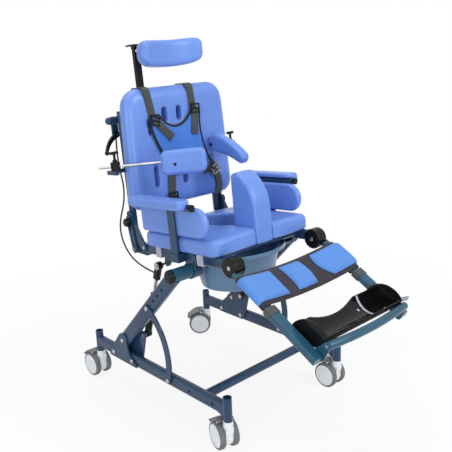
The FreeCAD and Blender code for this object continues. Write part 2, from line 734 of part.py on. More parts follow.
def seat_rail():
    """Side rail with its rear lug, the gas spring lug and the armrest socket."""
    rail = rounded_box((SEAT_RAIL_IN, SEAT_RAIL_OUT), (SEAT_RAIL_FRONT, SEAT_RAIL_REAR),
                       (SEAT_RAIL_LOW, SEAT_RAIL_TOP), 4.0, Vec(0, 1, 0))
    lug = rounded_plate([(BACK_HINGE[0] - 6, SEAT_RAIL_LOW + 6), STRUT_FOOT,
                         (STRUT_FOOT[0], SEAT_RAIL_TOP - 13)],
                        13.0, SEAT_RAIL_IN + 1, SEAT_RAIL_OUT)
    gas_lug = rounded_plate([(GAS_PIN[0] - 18, SEAT_RAIL_LOW + 4), GAS_PIN,
                             (GAS_PIN[0] - 2, SEAT_RAIL_LOW + 4)],
                            10.0, SEAT_RAIL_IN + 6, SEAT_RAIL_IN + 14)
    half_u = ARM_POST_WIDTH / 2 + SEAT_GAP + ARM_SOCKET_WALL
    socket = box((SEAT_RAIL_OUT - 2, ARM_POST_X + ARM_POST_THICK + SEAT_GAP + ARM_SOCKET_WALL),
                 (ARM_POST_U - half_u, ARM_POST_U + half_u), (SEAT_RAIL_LOW + 2, SEAT_RAIL_TOP - 3))
    whole = fused(rail, lug, gas_lug, socket)
    slot = box((ARM_POST_X - SEAT_GAP, ARM_POST_X + ARM_POST_THICK + SEAT_GAP),
               (ARM_POST_U - ARM_POST_WIDTH / 2 - SEAT_GAP, ARM_POST_U + ARM_POST_WIDTH / 2 + SEAT_GAP),
               (0, SEAT_RAIL_TOP))
    whole = whole.cut(slot)
    whole = whole.cut(cross_pin(SEAT_RAIL_IN - 1, SEAT_RAIL_OUT + 1, BACK_HINGE, HINGE_PIN_R))
    whole = whole.cut(cross_pin(SEAT_RAIL_IN - 1, SEAT_RAIL_OUT + 1, STRUT_FOOT, BOLT_R))
    whole = whole.cut(cross_pin(SEAT_RAIL_IN - 1, SEAT_RAIL_OUT + 1, GAS_PIN, GAS_PIN_R))
    return whole.cut(cross_pin(KNEE_X - 2 * KNEE_HALF, KNEE_X + 2 * KNEE_HALF, KNEE, KNEE_R + SEAT_GAP))


def cross_tube(u):
    return cross_pin(-SEAT_RAIL_IN, SEAT_RAIL_IN, (u, CROSS_TUBE_W), CROSS_TUBE_D / 2)


RUNNER_TOP = SEAT_RAIL_LOW - RUNNER_THICK - 1.0
HANGER_IN = SEAT_RAIL_IN - RUNNER_THICK - HANGER_PLATE


def pan_runner():
    """Angle under the rail that the pan's flange slides on."""
    u_limits = (PAN_U - 0.6 * PAN_FLANGE_R, SEAT_RAIL_REAR - 2 * KNOB_R)
    ledge = box((SEAT_RAIL_IN - RUNNER_LEDGE, SEAT_RAIL_IN), u_limits,
                (RUNNER_TOP - RUNNER_THICK, RUNNER_TOP))
    wall = box((SEAT_RAIL_IN - RUNNER_THICK, SEAT_RAIL_IN), u_limits,
               (RUNNER_TOP - RUNNER_THICK, SEAT_RAIL_LOW + 8))
    hub_room = cross_pin(0, HUB_OUTER_X, (0, 0), HUB_D / 2 + 1.0)
    sleeve_room = cross_pin(HANGER_IN - SEAT_GAP, HUB_OUTER_X, (0, 0), HUB_D / 2 + HANGER_WALL + SEAT_GAP)
    ear_room = box((HANGER_IN - SEAT_GAP, HANGER_IN + HANGER_PLATE), (-44, 44), (0, SEAT_RAIL_TOP))
    return fused(ledge, wall).cut(hub_room).cut(sleeve_room).cut(ear_room)


def tilt_hanger():
    """Saddle under the seat rail that turns on the hub."""
    ring_r = HUB_D / 2 + HANGER_WALL
    top = SEAT_RAIL_LOW + 12
    round_r = ring_r - 8
    outer = rounded_plate([(-20, top), (-6, top), (0, 0)], round_r, SEAT_RAIL_OUT,
                          SEAT_RAIL_OUT + HANGER_PLATE)
    inner = rounded_plate([(-24, top), (24, top), (0, 0)], round_r, HANGER_IN, HANGER_IN + HANGER_PLATE)
    sleeve = cross_pin(HANGER_IN, SEAT_RAIL_OUT + HANGER_PLATE, (0, 0), ring_r)
    saddle = fused(sleeve, outer, inner)
    return saddle.cut(cross_pin(0, HUB_OUTER_X, (0, 0), HUB_D / 2 + RUN_FIT))


def seat_outline(half, front, rear, corner):
    side = corner * (1 - sqrt(0.5))
    return wire((-half + corner, front), (half - corner, front),
                ((half - side, front + side), (half, front + corner)),
                (half, rear - corner), ((half - side, rear - side), (half - corner, rear)),
                (-half + corner, rear),
                ((-half + side, rear - side), (-half, rear - corner)), (-half, front + corner),
                ((-half + side, front + side), (-half + corner, front)), place=on_top)


def seat_cushion():
    """Horseshoe cushion, crowned across its width, open at the front for the pommel."""
    half = SEAT_WIDTH / 2
    pad = slab(seat_outline(half, SEAT_FRONT, SEAT_REAR, SEAT_CORNER), Vec(0, 0, SEAT_THICK),
               Vec(0, 0, CUSHION_LOW))
    crown_r = (half ** 2 + SEAT_CROWN ** 2) / (2 * SEAT_CROWN)
    crown_centre = CUSHION_TOP - crown_r
    pad = pad.common(rod(Vec(0, SEAT_FRONT - 1, crown_centre), Vec(0, SEAT_REAR + 1, crown_centre),
                         crown_r))
    top = [edge for edge in pad.Edges if edge.BoundBox.ZMin > CUSHION_TOP - SEAT_CROWN - 1]
    pad = pad.makeFillet(15.0, top)
    low = [edge for edge in pad.Edges if edge.BoundBox.ZMax < CUSHION_LOW + 0.01]
    pad = pad.makeFillet(6.0, low)
    notch = POMMEL_WIDTH / 2 + SEAT_GAP
    hole = wire((notch, POMMEL_REAR - 8), (0.94 * OPENING_R, OPENING_U - 26),
                ((0, OPENING_U + OPENING_R), (-0.94 * OPENING_R, OPENING_U - 26)),
                (-notch, POMMEL_REAR - 8),
                place=on_top)
    pad = pad.cut(slab(hole, Vec(0, 0, 3 * SEAT_THICK), Vec(0, 0, 0)))
    return pad.cut(box((-notch, notch), (SEAT_FRONT - 1, POMMEL_REAR + SEAT_GAP), (0, 3 * SEAT_THICK)))


def cushion_clip(u):
    """Plastic clip that hooks the cushion's edge to the rail."""
    half = CLIP_LENGTH / 2
    outer = SEAT_RAIL_OUT + CLIP_THICK
    wall = box((SEAT_RAIL_OUT, outer), (u - half, u + half),
               (SEAT_RAIL_LOW - CLIP_THICK, CUSHION_LOW - SEAT_GAP))
    foot = box((SEAT_RAIL_OUT - 9, outer), (u - half, u + half),
               (SEAT_RAIL_LOW - CLIP_THICK, SEAT_RAIL_LOW))
    return fused(wall, foot)


def knee_housing():
    """Fixed half of the knee ratchet with its pin."""
    disc = cross_pin(KNEE_X - KNEE_HALF, KNEE_X, KNEE, KNEE_R)
    rim = [edge for edge in disc.Edges if edge.BoundBox.XMax < KNEE_X - KNEE_HALF / 2]
    disc = disc.makeFillet(5.0, rim)
    return fused(disc, cross_pin(KNEE_X - 2, KNEE_X + KNEE_HALF - 4, KNEE, 6.0))


def seat_pins():
    """Pins of the back hinge, the recline struts and the gas springs' upper ends."""
    hinge = cross_pin(SEAT_RAIL_IN, SEAT_RAIL_OUT + PLATE + 1.5, BACK_HINGE, HINGE_PIN_R)
    strut_out = SEAT_RAIL_OUT + PLATE + STRUT_THICK + 2
    strut = fused(cross_pin(SEAT_RAIL_IN, strut_out, STRUT_FOOT, BOLT_R),
                  cross_pin(strut_out - 1, strut_out + BOLT_HEAD, STRUT_FOOT, BOLT_HEAD_R),
                  cross_pin(SEAT_RAIL_OUT, SEAT_RAIL_OUT + PLATE + 0.7, STRUT_FOOT, BOLT_HEAD_R))
    near = GAS_X - GAS_EYE_WIDTH / 2 - SEAT_GAP
    far = GAS_X + GAS_EYE_WIDTH / 2 + SEAT_GAP
    gas = fused(cross_pin(SEAT_RAIL_IN + 6, far + 3, GAS_PIN, GAS_PIN_R),
                cross_pin(near - WASHER, near, GAS_PIN, WASHER_R),
                cross_pin(far, far + WASHER, GAS_PIN, WASHER_R))
    return [hinge, strut, gas]


def cable():
    """Bowden cable from the lever bracket to the release head: straight runs joined by tangent arcs."""
    points = [Vec(*spot) for spot in CABLE_ROUTE]
    edges = []
    here = points[0]
    radii = []
    for before, corner, after in zip(points, points[1:], points[2:]):
        into = (before - corner).normalize()
        out = (after - corner).normalize()
        reach = 0.45 * min((before - corner).Length, (after - corner).Length)
        half_turn = (radians(180) - into.getAngle(out)) / 2
        radii.append(reach / tan(half_turn))
        start = corner + into * reach
        end = corner + out * reach
        bisector = (into + out).normalize()
        middle = corner + bisector * (radii[-1] / cos(half_turn) - radii[-1])
        edges.append(Part.LineSegment(here, start).toShape())
        edges.append(Part.Arc(start, middle, end).toShape())
        here = end
    edges.append(Part.LineSegment(here, points[-1]).toShape())
    path = Part.Wire(edges)
    ring = Part.Wire(Part.makeCircle(CABLE_D / 2, points[0], points[1] - points[0]))
    tube = path.makePipeShell([ring], True, False)
    section = radians(180) * CABLE_D ** 2 / 4
    print("cable radii", [round(radius, 1) for radius in radii])
    print("cable volume", round(tube.Volume), "section by length", round(section * path.Length))
    return tube


def make_seat_frame():
    keep("seat_side_rails", *[seat(side) for side in both(seat_rail())])
    members = [cross_tube(FRONT_TUBE_U), cross_tube(REAR_TUBE_U)] + both(pan_runner())
    keep("seat_cross_members", *[seat(piece) for piece in members])
    keep("tilt_hangers", *[seat(side) for side in both(tilt_hanger())])
    keep("seat_cushion", seat(seat_cushion()))
    clips = [side for u in CLIP_US for side in both(cushion_clip(u))]
    keep("cushion_clips", *[seat(piece) for piece in clips])
    keep("knee_housings", *[seat(side) for side in both(knee_housing())])
    keep("seat_pins", *[seat(side) for piece in seat_pins() for side in both(piece)])
    keep("tilt_cable", seat(cable()))


# Commode pan and pommel
def pan():
    """Round bowl with a flat flange that slides on the runners."""
    top = RUNNER_TOP + SEAT_GAP + PAN_WALL
    bottom = top - PAN_DEPTH
    inner = PAN_BOTTOM_R - PAN_WALL
    profile = wire((0, bottom), (PAN_BOTTOM_R - 14, bottom),
                   ((PAN_BOTTOM_R - 4, bottom + 4), (PAN_BOTTOM_R, bottom + 14)),
                   (PAN_TOP_R, top - PAN_WALL), (PAN_FLANGE_R, top - PAN_WALL),
                   (PAN_FLANGE_R, top + PAN_LIP), (PAN_FLANGE_R - PAN_WALL, top + PAN_LIP),
                   (PAN_FLANGE_R - PAN_WALL, top),
                   (PAN_TOP_R - PAN_WALL, top), (inner, bottom + 14),
                   ((inner - 4, bottom + 7), (inner - 14, bottom + PAN_WALL)),
                   (0, bottom + PAN_WALL), place=on_front)
    bowl = Part.Face(profile).revolve(ORIGIN, Z_AXIS, 360)
    bowl.translate(Vec(0, PAN_U, 0))
    return bowl


def pommel():
    front = SEAT_FRONT - 1.0
    rear = POMMEL_REAR
    low = CUSHION_LOW
    profile = wire((rear, low), (rear - 4, POMMEL_TOP - 6), (rear - 30, POMMEL_TOP),
                   ((front + 18, POMMEL_TOP - 42), (front, POMMEL_TOP - 104)), (front, low))
    block = side_plate(profile, -POMMEL_WIDTH / 2, POMMEL_WIDTH / 2)
    upper = [edge for edge in block.Edges if edge.BoundBox.ZMax > low + 1]
    return block.makeFillet(7.0, upper)


def make_pan_and_pommel():
    keep("commode_pan", seat(pan()))
    keep("pommel", seat(pommel()))


# Armrests, left side
ARM_TUBE_X = ARM_POST_X + ARM_TUBE_D / 2


def armrest_frame():
    """Flat upright with the tube that carries the pad."""
    upright = box((ARM_POST_X, ARM_POST_X + ARM_POST_THICK),
                  (ARM_POST_U - ARM_POST_WIDTH / 2, ARM_POST_U + ARM_POST_WIDTH / 2),
                  (SEAT_RAIL_LOW + 4, ARM_TUBE_W))
    tube = rod(Vec(ARM_TUBE_X, ARM_TUBE_FRONT, ARM_TUBE_W), Vec(ARM_TUBE_X, ARM_TUBE_REAR, ARM_TUBE_W),
               ARM_TUBE_D / 2)
    return fused(upright, tube)


def armrest_cap():
    return rod(Vec(ARM_TUBE_X, ARM_TUBE_FRONT - ARM_CAP, ARM_TUBE_W),
               Vec(ARM_TUBE_X, ARM_TUBE_FRONT, ARM_TUBE_W),
               ARM_TUBE_D / 2)


def armrest_pad():
    """Long pad with a rounded nose, resting on the tube with a skirt along its outer side."""
    rest = ARM_TUBE_W + ARM_TUBE_D / 2 + SEAT_GAP
    low = rest - ARM_PAD_SKIRT
    half = ARM_PAD_WIDTH / 2
    pad = box((ARM_PAD_X - half, ARM_PAD_X + half), (ARM_PAD_FRONT, ARM_PAD_REAR),
              (low, low + ARM_PAD_THICK))
    pad = pad.makeFillet(16.0, [edge for edge in edges_along(pad, Z_AXIS) if edge.BoundBox.YMax < 0])
    upper = [edge for edge in pad.Edges if edge.BoundBox.ZMin > low + ARM_PAD_THICK - 1]
    pad = pad.makeFillet(10.0, upper)
    channel = ARM_TUBE_D / 2 + SEAT_GAP
    pad = pad.cut(rod(Vec(ARM_TUBE_X, ARM_PAD_FRONT - 1, ARM_TUBE_W),
                      Vec(ARM_TUBE_X, ARM_PAD_REAR + 1, ARM_TUBE_W), channel))
    return pad.cut(box((ARM_PAD_X - half - 1, ARM_TUBE_X), (ARM_PAD_FRONT - 1, ARM_PAD_REAR + 1),
                       (low - 1, rest)))


def side_panel():
    """D-shaped padded side panel on the inner face of the upright."""
    outline = wire((PANEL_FRONT + 34, PANEL_LOW), (PANEL_REAR, PANEL_LOW), (PANEL_REAR, PANEL_TOP),
                   (PANEL_FRONT + 46, PANEL_TOP),
                   ((PANEL_FRONT + 2, (PANEL_LOW + PANEL_TOP) / 2 + 4), (PANEL_FRONT + 34, PANEL_LOW)))
    inner = ARM_POST_X - SEAT_GAP - PANEL_THICK
    panel = side_plate(outline, inner, inner + PANEL_THICK)
    return panel.makeFillet(7.0, panel.Edges)


def make_armrests():
    for side, place in (("left", lambda shape: shape), ("right", mirrored)):
        keep("armrest_frame_" + side, seat(place(armrest_frame())), seat(place(armrest_cap())))
        keep("armrest_pad_" + side, seat(place(armrest_pad())))
        keep("side_panel_" + side, seat(place(side_panel())))


# Backrest
HINGE_PLATE_IN = SEAT_RAIL_OUT + 0.5
BACK_REAR = BACK_POST_U - BACK_POST_D / 2 - SEAT_GAP
PUSH_BAR_U = BACK_POST_U + BACK_POST_D / 2 + PUSH_BAR_D / 2
PUSH_END_LEFT = BACK_POST_X + BACK_POST_D / 2 + 0.5
PUSH_END_RIGHT = LEVER_X - LEVER_EAR / 2 - 0.5
BRACKET_ARM = 12.0


def back_post():
    """Upright tube, hinge plate with the recline stud, and the arm of the lateral support."""
    tube = rod(Vec(BACK_POST_X, BACK_POST_U, BACK_POST_LOW), Vec(BACK_POST_X, BACK_POST_U, BACK_POST_TOP),
               BACK_POST_D / 2)
    plate = rounded_plate([BACK_HINGE, (BACK_POST_U, BACK_POST_LOW + 8),
                           (BACK_POST_U, STRUT_STUD[1] + 22)], 12.0,
                          HINGE_PLATE_IN, HINGE_PLATE_IN + PLATE)
    plate = plate.cut(cross_pin(SEAT_RAIL_OUT - 1, SEAT_RAIL_OUT + 4 * PLATE, BACK_HINGE,
                                HINGE_PIN_R + RUN_FIT))
    stud = cross_pin(HINGE_PLATE_IN + 1, HINGE_PLATE_IN + PLATE + STRUT_THICK + 4, STRUT_STUD, BOLT_R)
    x, u, w = LATERAL
    half = BRACKET_ARM / 2
    heights = (w - BLOCK_HEIGHT / 2 - SEAT_GAP - BRACKET_ARM, w - BLOCK_HEIGHT / 2 - SEAT_GAP)
    arm = fused(box((BACK_POST_X, x + half), (BACK_POST_U - half, BACK_POST_U + half), heights),
                box((x - half, x + half), (u - half, BACK_POST_U + half), heights))
    return fused(tube, plate, stud, arm)


def back_frame():
    left = back_post()
    inner = BACK_POST_X - BACK_POST_D / 2 + 1
    cross = cross_pin(-inner, inner, (BACK_POST_U, BACK_CROSS_W), 9.0)
    return fused(left, mirrored(left), cross)


def back_outline():
    top = BACK_TOP_WIDTH / 2
    low = BACK_LOW_WIDTH / 2
    slope = (low - top) / (BACK_TOP - BACK_LOW)
    bend = BACK_CORNER * (1 - sqrt(0.5))

    def edge_at(w):
        return top + slope * (BACK_TOP - w)

    right = edge_at(BACK_TOP - BACK_CORNER)
    foot = edge_at(BACK_LOW + BACK_CORNER)
    return wire((-right + BACK_CORNER, BACK_TOP), (right - BACK_CORNER, BACK_TOP),
                ((right - bend, BACK_TOP - bend), (right, BACK_TOP - BACK_CORNER)),
                (foot, BACK_LOW + BACK_CORNER),
                ((foot - bend, BACK_LOW + bend), (foot - BACK_CORNER, BACK_LOW)),
                (-foot + BACK_CORNER, BACK_LOW),
                ((-foot + bend, BACK_LOW + bend), (-foot, BACK_LOW + BACK_CORNER)),
                (-right, BACK_TOP - BACK_CORNER),
                ((-right + bend, BACK_TOP - bend), (-right + BACK_CORNER, BACK_TOP)), place=on_front)


def back_cushion():
    """Moulded back pad with rounded front edges and strap slots."""
    thick = BACK_REAR - BACK_FRONT
    pad = slab(back_outline(), Vec(0, thick, 0), Vec(0, BACK_FRONT, 0))
    front = [edge for edge in pad.Edges if edge.BoundBox.YMax < BACK_FRONT + 0.01]
    pad = pad.makeFillet(BACK_FRONT_ROUND, front)
    rear = [edge for edge in pad.Edges if edge.BoundBox.YMin > BACK_REAR - 0.01]
    pad = pad.makeFillet(BACK_REAR_ROUND, rear)
    half = SLOT_WIDTH / 2
    for x, w, height in SLOTS:
        end = height / 2 - half
        slot = wire((x - half, w - end), ((x, w - end - half), (x + half, w - end)), (x + half, w + end),
                    ((x, w + end + half), (x - half, w + end)), place=on_front)
        pad = pad.cut(slab(slot, Vec(0, thick + 2, 0), Vec(0, BACK_FRONT - 1, 0)))
    return pad


def push_bar():
    """Transverse push bar with domed ends, the headrest holder and the lever bracket."""
    spot = (PUSH_BAR_U, PUSH_BAR_W)
    bar = cross_pin(PUSH_END_RIGHT, PUSH_END_LEFT, spot, PUSH_BAR_D / 2)
    free = cross_pin(-PUSH_BAR_HALF, PUSH_BAR_HALF, spot, PUSH_END_R)
    ends = [Part.makeSphere(PUSH_END_R, Vec(side * PUSH_BAR_HALF, *spot)) for side in (-1, 1)]
    half_x = HEAD_POST_WIDTH / 2 + HOLDER_WALL
    holder = box((HEAD_POST_X - half_x, HEAD_POST_X + half_x),
                 (PUSH_BAR_U + 4, HEAD_POST_U + HEAD_POST_THICK / 2 + HOLDER_WALL),
                 (PUSH_BAR_W - HOLDER_HEIGHT / 2, PUSH_BAR_W + HOLDER_HEIGHT / 2))
    slot = box((HEAD_POST_X - HEAD_POST_WIDTH / 2 - SEAT_GAP, HEAD_POST_X + HEAD_POST_WIDTH / 2 + SEAT_GAP),
               (HEAD_POST_U - HEAD_POST_THICK / 2 - SEAT_GAP, HEAD_POST_U + HEAD_POST_THICK / 2 + SEAT_GAP),
               (PUSH_BAR_W - HOLDER_HEIGHT, PUSH_BAR_W + HOLDER_HEIGHT))
    half = LEVER_THICK / 2 + SEAT_GAP
    ear_half = LEVER_EAR / 2
    ear = rounded_box((LEVER_X - ear_half, LEVER_X + ear_half),
                      (PUSH_BAR_U + half, PUSH_BAR_U + half + PLATE),
                      (LEVER_W - ear_half, PUSH_BAR_W), 8.0, Vec(0, 1, 0))
    pin = rod(Vec(LEVER_X, PUSH_BAR_U - half, LEVER_W), Vec(LEVER_X, PUSH_BAR_U + half + 1, LEVER_W),
              BOLT_R)
    return fused(bar, free, *ends, holder.cut(slot), ear, pin)


HEAD_POST_U = PUSH_BAR_U + PUSH_BAR_D / 2 + HEAD_POST_THICK / 2 + 1.5


def knob(x_from, spot):
    """Hand knob along X with a rounded rim."""
    body = cross_pin(x_from, x_from + KNOB_LENGTH, spot, KNOB_R)
    rim = [edge for edge in body.Edges if edge.BoundBox.XMin > x_from + KNOB_LENGTH / 2]
    return body.makeFillet(4.0, rim)


def hand_knobs():
    recline = knob(HINGE_PLATE_IN + PLATE + STRUT_THICK + 1.0, STRUT_STUD)
    stud_room = cross_pin(0, HINGE_PLATE_IN + PLATE + STRUT_THICK + 4, STRUT_STUD, BOLT_R)
    recline = recline.cut(stud_room)
    rear = HEAD_POST_U + HEAD_POST_THICK / 2 + HOLDER_WALL
    clamp = rod(Vec(HEAD_POST_X, rear, PUSH_BAR_W), Vec(HEAD_POST_X, rear + KNOB_LENGTH, PUSH_BAR_W),
                KNOB_R)
    return both(recline) + [clamp]


def recline_strut():
    """Slotted link that the knob clamps to set the back's angle."""
    length = hypot(STRUT_STUD[0] - STRUT_FOOT[0], STRUT_STUD[1] - STRUT_FOOT[1])
    start = HINGE_PLATE_IN + PLATE + 0.5
    strut = link_plate(STRUT_FOOT, along(STRUT_FOOT, STRUT_STUD, length + 8), STRUT_WIDTH, start,
                       start + STRUT_THICK)
    slot = link_plate(along(STRUT_FOOT, STRUT_STUD, length - 22), along(STRUT_FOOT, STRUT_STUD, length + 6),
                      2 * (BOLT_R + STUD_PLAY), start - 1, start + STRUT_THICK + 1)
    strut = strut.cut(slot)
    return strut.cut(cross_pin(start - 1, start + STRUT_THICK + 1, STRUT_FOOT, BOLT_R + RUN_FIT))


def release_lever():
    """Curved squeeze lever with a ball tip on the sitter's right."""
    x, w = LEVER_X, LEVER_W
    outline = wire((x + 7, w - 5), (x + 6, w + 6), ((x - 2, w + 9), (x - 9, w + 3)),
                   ((x - 34, w - 20), (x - 46, w - 48)), (x - 40, w - 51),
                   ((x - 26, w - 26), (x + 1, w - 9)),
                   place=on_front)
    half = LEVER_THICK / 2
    blade = slab(outline, Vec(0, LEVER_THICK, 0), Vec(0, PUSH_BAR_U - half, 0))
    tip = Part.makeSphere(7.0, Vec(x - 43, PUSH_BAR_U, w - 51))
    hole = rod(Vec(x, PUSH_BAR_U - LEVER_THICK, w), Vec(x, PUSH_BAR_U + LEVER_THICK, w), BOLT_R + RUN_FIT)
    return fused(blade, tip).cut(hole)


def make_back():
    keep("back_frame", seat(back_frame()))
    keep("back_cushion", seat(back_cushion()))
    keep("push_bar", seat(push_bar()))
    keep("hand_knobs", *[seat(piece) for piece in hand_knobs()])
    keep("recline_struts", *[seat(side) for side in both(recline_strut())])
    keep("release_lever", seat(release_lever()))


# Headrest
def head_post():
    return box((HEAD_POST_X - HEAD_POST_WIDTH / 2, HEAD_POST_X + HEAD_POST_WIDTH / 2),
               (HEAD_POST_U - HEAD_POST_THICK / 2, HEAD_POST_U + HEAD_POST_THICK / 2),
               (HEAD_POST_LOW, HEAD_POST_TOP))


def head_fork():
    """Clevis on the post's top with the tilt pin."""
    outer = HEAD_POST_WIDTH / 2
    spot = (HEAD_POST_U, HEAD_HINGE_W)
    cheeks = []
    for side in (-1, 1):
        inner_x = HEAD_POST_X + side * (outer - 5)
        outer_x = HEAD_POST_X + side * outer
        limits = (min(inner_x, outer_x), max(inner_x, outer_x))
        cheek = fused(box(limits, (HEAD_POST_U - 6, HEAD_POST_U + 6), (HEAD_POST_TOP - 1, HEAD_HINGE_W)),
                      cross_pin(*limits, spot, 9.0))
        cheeks.append(cheek)
    return fused(*cheeks, cross_pin(HEAD_POST_X - outer, HEAD_POST_X + outer, spot, BOLT_R))


def head_arm():
    """Tilting arm: hub on the pin, bar forward, crosspiece behind the pad, and the lock lever."""
    spot = (HEAD_POST_U, HEAD_HINGE_W)
    half = HEAD_POST_WIDTH / 2 - 5 - SEAT_GAP
    eye = cross_pin(HEAD_POST_X - half, HEAD_POST_X + half, spot, 9.0)
    pad_rear = HEAD_PAD_U + HEAD_PAD_THICK
    bar = box((HEAD_POST_X - half, HEAD_POST_X + half), (pad_rear + SEAT_GAP, HEAD_POST_U),
              (HEAD_HINGE_W - 6, HEAD_HINGE_W + 6))
    cross = rounded_box((HEAD_POST_X - half, 26), (pad_rear + SEAT_GAP, pad_rear + SEAT_GAP + 9),
                        (HEAD_PAD_W - 8, HEAD_HINGE_W + 6), 4.0, Vec(0, 1, 0))
    lever = rounded_box((HEAD_POST_X - half, HEAD_POST_X + half), (HEAD_POST_U, HEAD_POST_U + 44),
                        (HEAD_HINGE_W + 4, HEAD_HINGE_W + 9), 2.0, X_AXIS)
    arm = fused(eye, bar, cross, lever)
    return arm.cut(cross_pin(HEAD_POST_X - 2 * half, HEAD_POST_X + 2 * half, spot, BOLT_R + RUN_FIT))


def head_pad():
    """Kidney-shaped pad curved about the head."""
    centre = HEAD_PAD_U - HEAD_PAD_R
    outer = HEAD_PAD_R + HEAD_PAD_THICK
    half_turn = HEAD_PAD_WIDTH / 2 / (HEAD_PAD_R + HEAD_PAD_THICK / 2)

    def at(radius, turn):
        return (radius * sin(turn), centre + radius * cos(turn))

    outline = wire(at(HEAD_PAD_R, -half_turn), (at(HEAD_PAD_R, 0), at(HEAD_PAD_R, half_turn)),
                   at(outer, half_turn),
                   (at(outer, 0), at(outer, -half_turn)), place=on_top)
    pad = slab(outline, Vec(0, 0, HEAD_PAD_HEIGHT), Vec(0, 0, HEAD_PAD_W - HEAD_PAD_HEIGHT / 2))
    pad = pad.makeFillet(19.0, edges_along(pad, Z_AXIS))
    rims = [edge for edge in pad.Edges if edge.BoundBox.ZLength < 0.01]
    return pad.makeFillet(14.0, rims)


def make_headrest():
    keep("headrest_post", seat(fused(head_post(), head_fork())))
    keep("headrest_arm", seat(head_arm()))
    keep("headrest_pad", seat(head_pad()))


# Lateral supports
def rod_direction(side):
    turn = radians(LATERAL_ANGLE)
    return Vec(-side * cos(turn), -sin(turn), 0)


def lateral_block(side):
    """Swivel block with the rod's cross bore and the T-screw."""
    x, u, w = side * LATERAL[0], LATERAL[1], LATERAL[2]
    body = rod(Vec(x, u, w - BLOCK_HEIGHT / 2), Vec(x, u, w + BLOCK_HEIGHT / 2), BLOCK_R)
    screw = rod(Vec(x, u, w), Vec(x, u, w + 40), 4.0)
    neck = rod(Vec(x, u, w + 12), Vec(x, u, w + 20), 7.0)
    bar = rod(Vec(x - 13, u, w + 40), Vec(x + 13, u, w + 40), 4.5)
    centre = Vec(x, u, w)
    bore = rod(centre - rod_direction(side) * 40, centre + rod_direction(side) * 40, ROD_D / 2 + RUN_FIT)
    return fused(body, screw, neck, bar).cut(bore)


def lateral_rod(side, inward):
    centre = Vec(side * LATERAL[0], LATERAL[1], LATERAL[2])
    direction = rod_direction(side)
    shaft = rod(centre - direction * ROD_OUT, centre + direction * inward, ROD_D / 2)
    end = centre + direction * inward
    boss = rod(end - Z_AXIS * 9, end + Z_AXIS * 9, ROD_BOSS_R)
    return fused(shaft, boss)


def lateral_pad():
    """Rounded trunk pad about the origin, long along Y, thick along X."""
    length, thick, height = LATERAL_PAD
    pad = rounded_box((-thick / 2, thick / 2), (-length / 2, length / 2), (-height / 2, height / 2), 24.0,
                      X_AXIS)
    faces = [edge for edge in pad.Edges if edge.BoundBox.XLength < 0.01]
    return pad.makeFillet(12.0, faces)


def tapered_pad():
    """Narrow bowed trunk pad about the origin, tapering to the front."""
    length, rear, front = TAPER_PAD
    thick = LATERAL_PAD[1]
    half = length / 2
    middle = (rear + front) / 4
    outline = wire((half, -rear / 2), ((half + rear / 3, 0), (half, rear / 2)),
                   ((0, middle + TAPER_PAD_BOW), (-half, front / 2)),
                   ((-half - front / 3, 0), (-half, -front / 2)),
                   ((0, -middle + TAPER_PAD_BOW), (half, -rear / 2)))
    pad = side_plate(outline, -thick / 2, thick / 2)
    return pad.makeFillet(10.0, [edge for edge in pad.Edges if edge.BoundBox.XLength < 0.01])


def make_laterals():
    for name, side in (("left", 1), ("right", -1)):
        inward = ROD_IN[name]
        end = Vec(side * LATERAL[0], LATERAL[1], LATERAL[2]) + rod_direction(side) * inward
        off = LATERAL_PAD[1] / 2 + ROD_BOSS_R + SEAT_GAP
        if name == "left":
            pad = tapered_pad()
            pad.rotate(ORIGIN, X_AXIS, LATERAL_PAD_SLOPE)
            pad.translate(end + Vec(-off, -TAPER_PAD_AHEAD, 0))
        else:
            pad = lateral_pad()
            turn = radians(LATERAL_ANGLE)
            pad.rotate(ORIGIN, Z_AXIS, 90 - LATERAL_ANGLE)
            pad.translate(end + Vec(-off * sin(turn), -off * cos(turn),
                                    0) - rod_direction(side) * LATERAL_PAD_BACK)
        keep("lateral_block_" + name, seat(lateral_block(side)))
        keep("lateral_rod_" + name, seat(lateral_rod(side, inward)))
        keep("lateral_pad_" + name, seat(pad))


# Chest harness
VEST_U = BACK_FRONT - SEAT_GAP - STRAP_THICK - SEAT_GAP - VEST_THICK


def vest_x(w, half):
    """Side of the vest at height w, which swings towards its hem."""
    return VEST_X + VEST_SWING * (VEST_TOP - w) / (VEST_TOP - VEST_LOW) + half


def vest():
    """Waisted chest panel with a scooped neck."""
    middle = (VEST_TOP + VEST_LOW) / 2
    scoop = VEST_TOP - VEST_SCOOP
    outline = wire((VEST_X - VEST_NECK, VEST_TOP), ((VEST_X, scoop), (VEST_X + VEST_NECK, VEST_TOP)),
                   (VEST_X + VEST_SHOULDER, VEST_TOP),
                   ((vest_x(middle, VEST_WAIST), middle), (vest_x(VEST_LOW, VEST_HEM), VEST_LOW)),
                   (vest_x(VEST_LOW, -VEST_HEM), VEST_LOW),
                   ((vest_x(middle, -VEST_WAIST), middle), (VEST_X - VEST_SHOULDER, VEST_TOP)),
                   place=on_front)
    return slab(outline, Vec(0, VEST_THICK, 0), Vec(0, VEST_U, 0))


